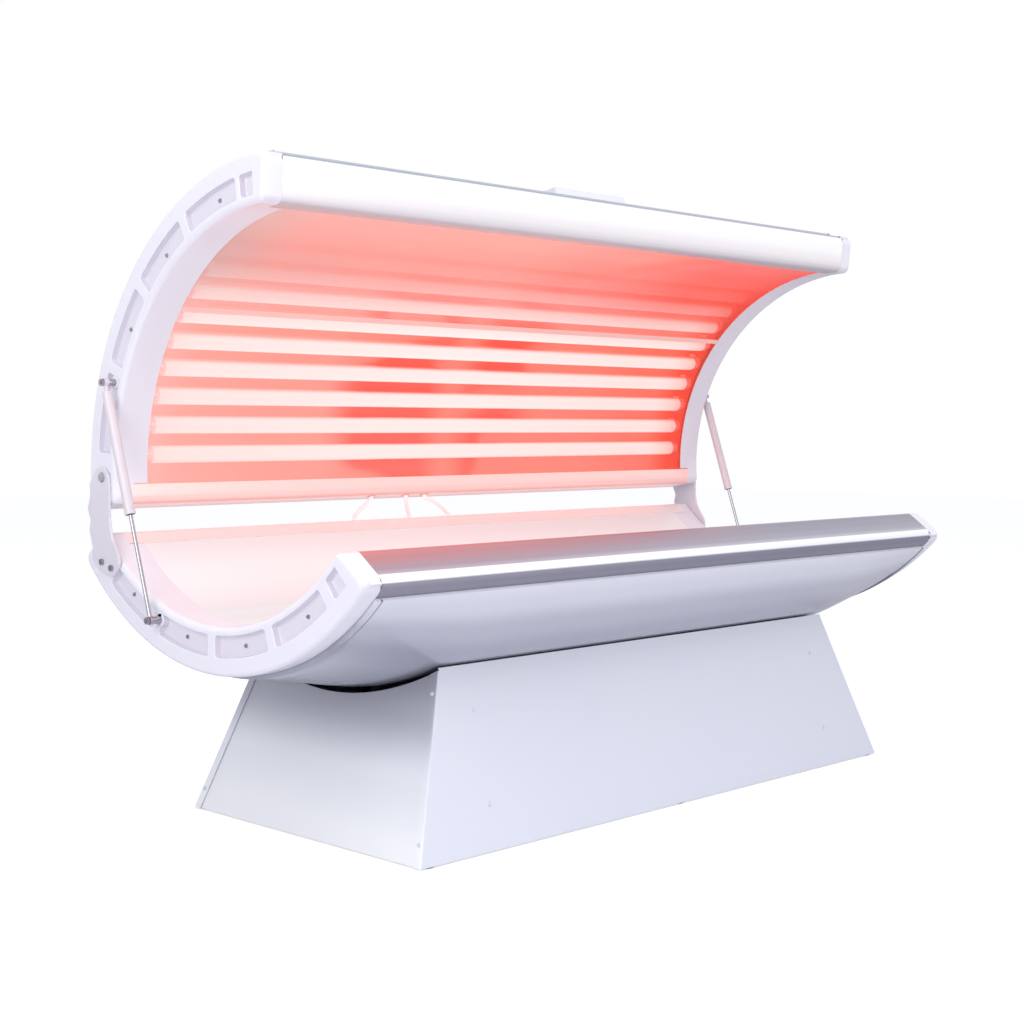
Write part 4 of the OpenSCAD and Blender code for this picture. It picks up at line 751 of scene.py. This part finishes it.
def end_cap(half, side, pocket_turn, bosses):
    """One moulded cap, its face at x = 0 until it is put at its end of the half."""
    bm = bmesh.new()
    arc_end = half_turn - nose_lap
    stops = sorted(
        [-arc_end, arc_end]
        + [s * (end_pocket_middle + t * end_pocket_half) for s in (-1, 1) for t in (-1, 1)]
        + [a + s * rib_half + pocket_turn for a in rib_angles for s in (-1, 1)]
    )
    stops = [a for a in stops if abs(a) <= arc_end + merge_reach]
    radii = [lying_radius, pocket_inner, pocket_outer, cap_radius]
    verts = [bm.verts.new((0, 0, -r)) for r in radii]
    verts += [bm.verts.new((cap_band, 0, -r)) for r in reversed(radii)]
    section = [bm.edges.new(pair) for pair in zip(verts, verts[1:] + verts[:1])]
    bmesh.ops.rotate(bm, verts=verts, cent=(0, 0, 0), matrix=Matrix.Rotation(-arc_end, 3, "X"))
    geom = verts + section
    for a0, a1 in zip(stops, stops[1:]):
        geom = spin(bm, geom, a1 - a0, max(1, round((a1 - a0) / cap_step)))
    for nose, edges in ((-1, section), (1, edges_of(geom))):
        ends, rim = pull_edges(bm, edges)
        for v in ends:
            share = (polar(v.co)[0] - lying_radius) / (cap_radius - lying_radius)
            y, z = at_edge([a + share * (b - a) for a, b in zip(inner_corner, outer_corner)])
            v.co.y, v.co.z = nose * y, z
        bmesh.ops.contextual_create(bm, geom=rim)
    bmesh.ops.recalc_face_normals(bm, faces=bm.faces)
    back = [f for f in bm.faces if abs(f.calc_center_median().x - cap_band) < close_by]
    bmesh.ops.inset_region(bm, faces=back, thickness=cap_wall, use_even_offset=True)
    back = [f for f in back if f.is_valid]
    grown = bmesh.ops.extrude_face_region(bm, geom=back)["geom"]
    bmesh.ops.translate(bm, verts=verts_of(grown), vec=(cap_face - cap_band, 0, 0))
    bmesh.ops.delete(bm, geom=[f for f in back if f.is_valid], context="FACES_ONLY")
    for corner, offset, steps in ((inner_corner, inner_offset, 6), (outer_corner, outer_offset, 9)):
        y, z = at_edge(corner)
        room = (Vector(corner) - Vector(on_arc(-nose_lap, -corner[1]))).length
        offset = min(offset, bend_room * room)
        at_corner = {v for v in bm.verts if abs(abs(v.co.y) - y) < close_by and abs(v.co.z - z) < close_by}
        bevel(bm, [e for e in bm.edges if at_corner.issuperset(e.verts)], offset, steps)
    rim = []
    for e in bm.edges:
        if all(abs(v.co.x) < close_by for v in e.verts) and len(e.link_faces) == 2:
            if any(abs(f.normal.x) < wall_facing for f in e.link_faces):
                rim.append(e)
    bevel(bm, rim, cap_round, 5)
    bmesh.ops.recalc_face_normals(bm, faces=bm.faces)
    for a0, a1 in zip(rib_angles, rib_angles[1:]):
        pocket(bm, a0 + rib_half + pocket_turn, a1 - rib_half + pocket_turn)
    for nose in (-1, 1):
        pocket(bm, *sorted(nose * (end_pocket_middle + s * end_pocket_half) for s in (-1, 1)))
    for y, z, radius, inner in bosses:
        boss(bm, (y, z), radius, inner, pocket_depth)
    lip_in, lip_out, lip_end = lying_radius + lip_gap, lying_radius + lip_wall, cap_band + lip_reach
    lip = [(cap_face, lip_in), (lip_end, lip_in), (lip_end, lip_out), (cap_face, lip_out)]
    sweep(bm, lip, -lip_turn, lip_turn, lip_steps)
    # A mask for the painted shade in the pockets.
    sunk = bm.verts.layers.float.new("sunk")
    for v in bm.verts:
        radius, angle = polar(v.co)
        in_pocket = shade_inner < radius < shade_outer and abs(angle) < shade_turn
        v[sunk] = 1.0 if in_pocket and v.co.x > shade_depth else 0.0
    bmesh.ops.translate(bm, verts=bm.verts, vec=(-half_length, 0, 0))
    if side == "right":
        bmesh.ops.scale(bm, verts=bm.verts, vec=(-1, 1, 1))
    finish_half(bm, half, side + "_cap_moulding", gloss_abs, side + "_end_cap", True)


def down(angle, radius):
    """(y, z) of the section at an angle in degrees from straight down."""
    return (radius * math.sin(math.radians(angle)), -radius * math.cos(math.radians(angle)))


hinge_joint = next(j for j in frame["joints"] if j["name"] == "canopy_hinge")
hinge_pin = Vector(hinge_joint["pos_m"])
hinge_on_canopy = canopy_place.inverted() @ hinge_pin
stud_circle = 0.5435
stud_boss = (0.014, 0.0043)
hinge_boss = (0.016, 0.0108)
bosses = {
    "bed": [(*down(18.6, stud_circle), *stud_boss)],
    "canopy": [(*down(-20.7, stud_circle), *stud_boss), (*hinge_on_canopy.yz, *hinge_boss)],
}
pocket_turn = {"bed": 0.0, "canopy": math.radians(1.4)}
for side in ("left", "right"):
    for half in ("bed", "canopy"):
        end_cap(half, side, pocket_turn[half], bosses[half])

# Acrylic sheets
# The user lies on one sheet of 6 mm acrylic, and two sheets of 4 mm close the canopy, with a white
# strip over their joint. All tuck under the caps' lips and the upper legs of the rails.
acrylic_gap = 0.010
acrylic_drop = 0.0025
acrylic_end = half_length - cap_band - acrylic_gap
acrylic_radius = lying_radius + acrylic_drop
acrylic_turn = half_turn - nose_lap - math.radians(0.3)
acrylic_step = math.radians(1.0)
seam = 0.0002
lit_half = 0.93


def rolled_sheet(bm, end, radius, wall, start, stop, steps):
    """A sheet with a wall, rolled to a radius between two angles, still open at both angles."""
    loop = [(-end, radius), (end, radius), (end, radius + wall), (-end, radius + wall), (-end, radius)]
    sweep(bm, loop, start, stop, steps)


def close_sheets(bm):
    """Merges the seams of rolled sheets and closes their ends."""
    bmesh.ops.remove_doubles(bm, verts=bm.verts, dist=merge_reach)
    bmesh.ops.holes_fill(bm, edges=bm.edges, sides=4)


# Frosted acrylic in front of the lamps, with the lamps' red light painted into it as a haze and a
# glow: the haze thickens upwards and at both ends, paler at the left and deeper red at the right.
high_glow_stops = [
    (0.0, "c8a29c"), (0.12, "e2998f"), (0.4, "f2978b"), (0.6, "f48477"), (0.85, "f2553e"), (1.0, "f03c1a")
]
low_glow_stops = [(0.0, "f6d0cb"), (0.88, "f6c4bd"), (1.0, "f84e2c")]
cover_stops = [
    (0.0, "606060"), (0.46, "505050"), (0.54, "909090"), (0.62, "c4c4c4"), (0.72, "e2e2e2"),
    (0.84, "f2f2f2"), (1.0, "f6f6f6"),
]
clear_acrylic, tree, shader = new_material("frosted_canopy_acrylic_painted_glow", Roughness=0.16, IOR=1.49)
around = add_node(tree, "ShaderNodeAttribute", attribute_name="around").outputs["Fac"]
along = share_along(tree, "X", -lit_half, lit_half)
high_glow_haze = add_node(tree, "ShaderNodeValToRGB", {"Fac": along}, high_glow_stops).outputs[0]
low_glow_haze = add_node(tree, "ShaderNodeValToRGB", {"Fac": along}, low_glow_stops).outputs[0]
rise = add_node(tree, "ShaderNodeValToRGB", {"Fac": around}, [(0.42, "000000"), (0.7, "ffffff")]).outputs[0]
painted_haze = {0: rise, 6: low_glow_haze, 7: high_glow_haze}
painted_haze = add_node(tree, "ShaderNodeMix", painted_haze, data_type="RGBA").outputs[2]
tree.links.new(painted_haze, shader.inputs["Base Color"])
painted_glow = {"Value": around, "From Min": 0.45, "From Max": 0.8, "To Min": 0.12, "To Max": 0.38}
painted_glow = add_node(tree, "ShaderNodeMapRange", painted_glow).outputs[0]
add_glow(tree, shader, painted_haze, painted_glow)
cover = add_node(tree, "ShaderNodeValToRGB", {"Fac": around}, cover_stops).outputs[0]
for low, high, stops in (
    (-lit_half, -0.8, [(0.0, "989898"), (1.0, "000000")]),
    (0.82, lit_half, [(0.0, "000000"), (1.0, "c0c0c0")]),
):
    near_cap = share_along(tree, "X", low, high)
    near_cap = add_node(tree, "ShaderNodeValToRGB", {"Fac": near_cap}, stops).outputs[0]
    cover = {0: near_cap, 6: cover, 7: linear("e0e0e0")}
    cover = add_node(tree, "ShaderNodeMix", cover, data_type="RGBA").outputs[2]
tree.links.new(cover, shader.inputs["Alpha"])

# Satin cast acrylic of the bed: milky, so that its lamps hardly show, with a soft shine, painted
# shade that greys it towards its front edge and a faint painted glow.
milk_shade_stops = [(0.0, "e0e3e4"), (0.6, "e8eef0"), (0.85, "f8fbfc"), (1.0, "f4f2f3")]
milky_acrylic, tree, shader = new_material("satin_cast_acrylic_painted_shade", Roughness=0.12, IOR=1.49, Alpha=0.93)
around = add_node(tree, "ShaderNodeAttribute", attribute_name="around").outputs["Fac"]
milk_shade = add_node(tree, "ShaderNodeValToRGB", {"Fac": around}, milk_shade_stops).outputs[0]
tree.links.new(milk_shade, shader.inputs["Base Color"])
add_glow(tree, shader, milk_shade, 0.06)

for half, wall, material, spans in (
    ("bed", 0.006, milky_acrylic, [(-acrylic_turn, acrylic_turn)]),
    ("canopy", 0.004, clear_acrylic, [(-acrylic_turn, -seam), (seam, acrylic_turn)]),
):
    bm = bmesh.new()
    for start, stop in spans:
        steps = round((stop - start) / acrylic_step)
        rolled_sheet(bm, acrylic_end, acrylic_radius, wall, start, stop, steps)
    close_sheets(bm)
    around = bm.verts.layers.float.new("around")
    for v in bm.verts:
        v[around] = 0.5 + 0.5 * polar(v.co)[1] / acrylic_turn
    finish_half(bm, half, "acrylic_sheet", material, "acrylic")

# Extruded PVC: white, with the lamps' red light from both sides painted on it as a pink tone and a glow.
strip_painted_glow, tree, shader = new_material("white_pvc_strip", Roughness=0.3)
add_mottle(tree, shader, "f2c0b8", "eeb4ab", 0.3)
add_glow(tree, shader, linear("ffd2ca"), 0.2)
strip_half = 0.0065
strip_wall = 0.002
strip_gap = 0.0002
strip_inset = 0.026
strip_end = acrylic_end - strip_inset
strip_turn = strip_half / lying_radius
strip_radius = acrylic_radius - strip_gap - strip_wall
bm = bmesh.new()
rolled_sheet(bm, strip_end, strip_radius, strip_wall, -strip_turn, strip_turn, 2)
close_sheets(bm)
finish_half(bm, "canopy", "sheet_joint_strip", strip_painted_glow, "joint_strip")

# Lamps and their holders
# Twelve fluorescent tubes of 38 mm in each half, with a red phosphor that glows almost white
# straight on and red towards the sides, aluminium ends and white holders on the reflector.
lamp_count = 12
lamp_pitch = math.radians(6.7)
lamp_circle = 0.544
lamp_radius = 0.019
lamp_half = 0.882
lamp_cap = 0.014
glow_half = lamp_half - lamp_cap
lamp_face = lamp_radius - 0.005
lamp_edge = lamp_radius - 0.0022
lamp_crimp = lamp_radius - 0.0008
lamp_dark_end = 0.03
lamp_facets = 24

red_stops = [
    (0.0, "ffa598"), (0.25, "ff9485"), (0.5, "ff7c69"), (0.75, "ff745f"), (0.92, "ff6046"), (1.0, "ff3c1c")
]
white_stops = [(0.0, "ffe6e2"), (0.5, "fff0ed"), (0.9, "ffe6e2"), (1.0, "ffc0b4")]
patch_scale = (5.0, 9.0, 9.0)
patch_run = (-0.4, 0.34)
patch_stops = [
    (0.0, "000000"), (0.16, "ffffff"), (0.42, "ffffff"), (0.55, "606060"), (0.68, "ffffff"),
    (0.8, "ffffff"), (1.0, "000000"),
]


def add_red(tree):
    """The lamps' red between the tubes, also painted on the reflector and the tubes' ends: paler at the
    left, with deeper patches in the middle.
    """
    along = share_along(tree, "X", -lit_half, lit_half)
    red = add_node(tree, "ShaderNodeValToRGB", {"Fac": along}, red_stops).outputs[0]
    place = add_node(tree, "ShaderNodeTexCoord").outputs["Object"]
    place = add_node(tree, "ShaderNodeMapping", {"Vector": place, "Scale": patch_scale}).outputs[0]
    noise = {"Vector": place, "Scale": 1.0, "Detail": 0.0}
    noise = add_node(tree, "ShaderNodeTexNoise", noise).outputs[0]
    patch = add_node(tree, "ShaderNodeValToRGB", {"Fac": noise}, [(0.34, "6c6c6c"), (0.52, "ffffff")])
    middle = share_along(tree, "X", *patch_run)
    middle = add_node(tree, "ShaderNodeValToRGB", {"Fac": middle}, patch_stops)
    share = {0: patch.outputs[0], 1: middle.outputs[0]}
    share = add_node(tree, "ShaderNodeMath", share, operation="MULTIPLY").outputs[0]
    links = {0: share, 6: red, 7: linear("ff3c1a")}
    return add_node(tree, "ShaderNodeMix", links, data_type="RGBA").outputs[2]


# Phosphor behind glass, lit: almost white where the tube faces the user, red at its sides.
lit_phosphor, tree, shader = new_material("lit_phosphor_tube", Roughness=0.3)
shader.inputs["Base Color"].default_value = linear("4a3836")
facing = add_node(tree, "ShaderNodeAttribute", attribute_name="facing").outputs["Fac"]
front_stops = [(0.48, "000000"), (0.88, "ffffff")]
front = add_node(tree, "ShaderNodeValToRGB", {"Fac": facing}, front_stops).outputs[0]
along = share_along(tree, "X", -lit_half, lit_half)
white = add_node(tree, "ShaderNodeValToRGB", {"Fac": along}, white_stops).outputs[0]
tube = {0: front, 6: add_red(tree), 7: white}
tube = add_node(tree, "ShaderNodeMix", tube, data_type="RGBA").outputs[2]
add_glow(tree, shader, tube, 1.0)

# Spun aluminium on the tubes' ends: pale metal with the lamps' red light painted on it as a glow.
lamp_cap_painted_glow, tree, shader = new_material("spun_aluminium_cap", Metallic=0.6, Roughness=0.3)
add_mottle(tree, shader, "e6d8d8", "d8caca", 0.004)
add_glow(tree, shader, add_red(tree), 0.45)


def lamps(half):
    """The tubes of a half: one is drawn from ring to ring and copied round the lamps' circle."""
    bm = bmesh.new()
    facing = bm.verts.layers.float.new("facing")
    rings = [(-lamp_half, lamp_edge), (-lamp_half, lamp_crimp), (-glow_half, lamp_crimp)]
    rings += [(-glow_half, lamp_radius), (-glow_half + lamp_dark_end, lamp_radius)]
    rings += [(-x, r) for x, r in reversed(rings)]
    made = bmesh.ops.create_circle(bm, cap_ends=True, radius=lamp_face, segments=lamp_facets)["verts"]
    bmesh.ops.rotate(bm, verts=made, cent=(0, 0, 0), matrix=Matrix.Rotation(math.pi / 2, 3, "Y"))
    bmesh.ops.translate(bm, verts=made, vec=(-lamp_half, 0, 0))
    edges = bm.edges[:]
    size, level = lamp_face, -lamp_half
    for x, radius in rings + [(lamp_half, lamp_face)]:
        verts, edges = pull_edges(bm, edges)
        bmesh.ops.scale(bm, verts=verts, vec=(1, radius / size, radius / size))
        bmesh.ops.translate(bm, verts=verts, vec=(x - level, 0, 0))
        size, level = radius, x
    bmesh.ops.contextual_create(bm, geom=edges)
    for f in bm.faces:
        f.material_index = 0 if abs(f.calc_center_median().x) < glow_half - close_by else 1
    for v in bm.verts:
        v[facing] = 0.5 + 0.5 * v.co.z / lamp_radius
    one = bm.verts[:] + bm.edges[:] + bm.faces[:]
    bmesh.ops.translate(bm, verts=bm.verts, vec=(0, 0, -lamp_circle))
    first = Matrix.Rotation(-(lamp_count - 1) / 2 * lamp_pitch, 3, "X")
    bmesh.ops.rotate(bm, verts=bm.verts, cent=(0, 0, 0), matrix=first)
    for i in range(1, lamp_count):
        verts = verts_of(bmesh.ops.duplicate(bm, geom=one)["geom"])
        turn = Matrix.Rotation(i * lamp_pitch, 3, "X")
        bmesh.ops.rotate(bm, verts=verts, cent=(0, 0, 0), matrix=turn)
    finish_half(bm, half, "lamp_tubes", [lit_phosphor, lamp_cap_painted_glow], "lamps")


lamps("bed")
lamps("canopy")

# Polycarbonate holders: white and smooth, with the lamps' red light painted on as a glow, most at
# the right end.
holder_glow_stops = [(0.0, "f8e0dc"), (0.5, "f8d8d2"), (1.0, "ff6040")]
holder_white, tree, shader = new_material("white_polycarbonate", Roughness=0.35)
add_mottle(tree, shader, "f0dcd9", "ead3d0", 0.02)
along = share_along(tree, "X", -lit_half, lit_half)
holder_painted_glow = add_node(tree, "ShaderNodeValToRGB", {"Fac": along}, holder_glow_stops).outputs[0]
add_glow(tree, shader, holder_painted_glow, 0.6)
dress(["bed_lamp_holders", "canopy_lamp_holders"], holder_white)

# Reflectors
# A bright aluminium sheet 1.5 mm thick behind the lamps. Their red light is painted on it as a
# reflection given off as a glow, strongest between the tubes and towards the right end, and paler
# at the left.
reflector_radius = 0.568
reflector_wall = 0.0015
reflector_end = 0.9493
reflector_turn = half_turn - math.radians(2.6)
reflector_steps = 90

reflector_painted_glow, tree, shader = new_material("rolled_aluminium_painted_glow", Metallic=0.3, Roughness=0.3)
# Under the painted glow the sheet's base colour is a dark red.
shader.inputs["Base Color"].default_value = linear("5a3430")
add_glow(tree, shader, add_red(tree), 0.94)

for half in ("bed", "canopy"):
    bm = bmesh.new()
    rolled_sheet(
        bm, reflector_end, reflector_radius, reflector_wall, -reflector_turn, reflector_turn, reflector_steps
    )
    close_sheets(bm)
    for f in bm.faces:
        inner = all(polar(v.co)[0] < reflector_radius + reflector_wall / 2 for v in f.verts)
        f.material_index = 0 if inner else 1
    finish_half(
        bm, half, "reflector_sheet", [reflector_painted_glow, galvanised], "reflector"
    )

# Hinge plates
# Two plates carry the canopy's pins. Painted glossy white, rounded, with a wavy rear edge for
# the hand, and held on the bed's caps by two bolts each.
plate_gap = 0.0003
plate_wall = 0.006
plate_round = 0.0018
plate_cut = 0.42
plate_merge = 2e-4
plate_fold = 1.0
plate_front = [
    (-0.023, 0.006), (-0.026, -0.024), (-0.0255, -0.086), (-0.033, -0.122), (-0.058, -0.158),
    (-0.0635, -0.182),
]
plate_rear = [
    (-0.036, -0.2065), (0.008, -0.1985), (0.040, -0.176), (0.0405, -0.146), (0.052, -0.112), (0.0465, -0.092),
    (0.058, -0.066), (0.0475, -0.040), (0.049, -0.012), (0.020, 0.0185), (-0.004, 0.0235),
]
plate_bends = [
    0.012, 0.03, 0.05, 0.05, 0.018, 0.02, 0.02, 0.03, 0.014, 0.014, 0.016, 0.016, 0.014, 0.016, 0.014,
    0.016, 0.014,
]

gloss_paint, tree, shader = new_material(
    "gloss_white_paint", Roughness=0.22, Coat_Weight=0.4, Coat_Roughness=0.06
)
add_mottle(tree, shader, "e6e1ea", "dedae4", 0.08)

for side in ("left", "right"):
    bm = bmesh.new()
    outline = [bm.verts.new((0, y, z)) for y, z in plate_front + plate_rear]
    bm.faces.new(outline)
    for v, bend in zip(outline, plate_bends):
        before, after = [e.other_vert(v).co - v.co for e in v.link_edges]
        cut = bend / math.tan(before.angle(after) / 2)
        cut = min(cut, plate_cut * min(before.length, after.length))
        bevel(bm, [v], cut, 6, "VERTICES")
    bmesh.ops.remove_doubles(bm, verts=bm.verts, dist=plate_merge)
    grown = bmesh.ops.extrude_face_region(bm, geom=bm.faces[:])["geom"]
    bmesh.ops.translate(bm, verts=verts_of(grown), vec=(-plate_wall, 0, 0))
    bmesh.ops.recalc_face_normals(bm, faces=bm.faces)
    rim = [e for e in bm.edges if len(e.link_faces) == 2 and e.calc_face_angle() > plate_fold]
    rim = [e for e in rim if abs(e.verts[0].co.x - e.verts[1].co.x) < merge_reach]
    bevel(bm, rim, plate_round, 3)
    bmesh.ops.translate(bm, verts=bm.verts, vec=(-half_length - plate_gap, hinge_pin.y, hinge_pin.z))
    if side == "right":
        bmesh.ops.scale(bm, verts=bm.verts, vec=(-1, 1, 1))
    name, nodes = side + "_hinge_bracket", [side + "_hinge_plate"]
    finish_piece(bm, name, gloss_paint, "base", None, nodes, weighted=True)

# Hinge pins, bolts and studs
# Turned from steel and chromed bright, as the guards of the fans are. The pins turn in bushes of
# sintered bronze, dull and brown, in the canopy's end plates.
chrome, tree, shader = new_material("chromed_steel", Metallic=1.0, Roughness=0.08)
add_mottle(tree, shader, "b9b6bd", "a6a3ac", 0.01)
dress(["hinge_pins", "hinge_bolts", "lower_strut_studs", "upper_strut_studs"], chrome)
dress(["bed_fan_guard", "canopy_fan_guard"], chrome)
bronze, tree, shader = new_material("sintered_bronze", Metallic=1.0, Roughness=0.45)
add_mottle(tree, shader, "b08a4e", "9a7742", 0.003)
dress(["hinge_bushes"], bronze)

# Gas struts
# A chromed rod slides in a steel cylinder enamelled glossy white. The rod ends in an eye on the
# bed's stud, and the cylinder in one on the canopy's.
strut_paint, tree, shader = new_material(
    "white_strut_enamel", Roughness=0.25, Coat_Weight=0.3, Coat_Roughness=0.08
)
add_mottle(tree, shader, "e4dbe1", "dbd1d8", 0.05)
dress(["left_strut_cylinder", "right_strut_cylinder"], strut_paint)
dress(["left_strut_rod", "right_strut_rod"], chrome)

# Supply leads
# Three leads in white silicone sheaths cross the gap between the halves, out of one rail and into
# the other. The lamps redden them a little.
lead_radius = 0.005
lead_sheath_painted_glow, tree, shader = new_material("silicone_lead_sheath", Roughness=0.4)
# The sheaths' pink tone and glow are the lamps' red light, painted on.
add_mottle(tree, shader, "fdf3f2", "f8e8e6", 0.02)
add_glow(tree, shader, linear("ffe9e6"), 0.3)
lead_routes = [
    [
        (-0.256, 0.3613, 0.6699), (-0.256, 0.3588, 0.6582), (-0.2595, 0.3735, 0.6420),
        (-0.2655, 0.3945, 0.6240), (-0.2700, 0.4065, 0.6065), (-0.270, 0.4037, 0.5970),
        (-0.270, 0.3966, 0.5874),
    ],
    [
        (-0.146, 0.3613, 0.6699), (-0.146, 0.3588, 0.6582), (-0.1310, 0.3735, 0.6420),
        (-0.1080, 0.3945, 0.6240), (-0.0920, 0.4065, 0.6065), (-0.088, 0.4037, 0.5970),
        (-0.088, 0.3966, 0.5874),
    ],
    [
        (-0.085, 0.3613, 0.6699), (-0.085, 0.3588, 0.6582), (-0.0450, 0.3735, 0.6435),
        (0.0030, 0.3945, 0.6270), (0.0360, 0.4065, 0.6090), (0.046, 0.4037, 0.5970),
        (0.046, 0.3966, 0.5874),
    ],
]
for number, route in enumerate(lead_routes):
    curve = bpy.data.curves.new("lead_path", "CURVE")
    curve.dimensions = "3D"
    curve.bevel_depth = lead_radius
    curve.bevel_resolution = 4
    curve.resolution_u = 8
    curve.use_fill_caps = True
    spline = curve.splines.new("BEZIER")
    spline.bezier_points.add(len(route) - 1)
    for point, place in zip(spline.bezier_points, route):
        point.co = place
        point.handle_left_type = point.handle_right_type = "AUTO"
    path = bpy.data.objects.new("lead_path", curve)
    mesh = bpy.data.meshes.new_from_object(path)
    bpy.data.objects.remove(path)
    lead = bpy.data.objects.new(f"supply_lead_{number + 1}", mesh)
    mesh.materials.clear()
    mesh.materials.append(lead_sheath_painted_glow)
    mesh.shade_smooth()
    bpy.context.scene.collection.objects.link(lead)
    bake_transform(lead)
    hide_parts("supply_leads")

# Control panel
# A low housing of textured ABS, matt white, on the top of the canopy's shell. Its membrane keypad
# is a printed film, dark and satin, with a display window.
housing_white, tree, shader = new_material("textured_white_abs", Roughness=0.42)
add_mottle(tree, shader, "eeeef3", "e6e7ee", 0.05)
dress(["control_panel"], housing_white)
keypad_film, tree, shader = new_material("printed_polyester_film", Roughness=0.3)
add_mottle(tree, shader, "39404d", "323946", 0.03)
dress(["keypad"], keypad_film)
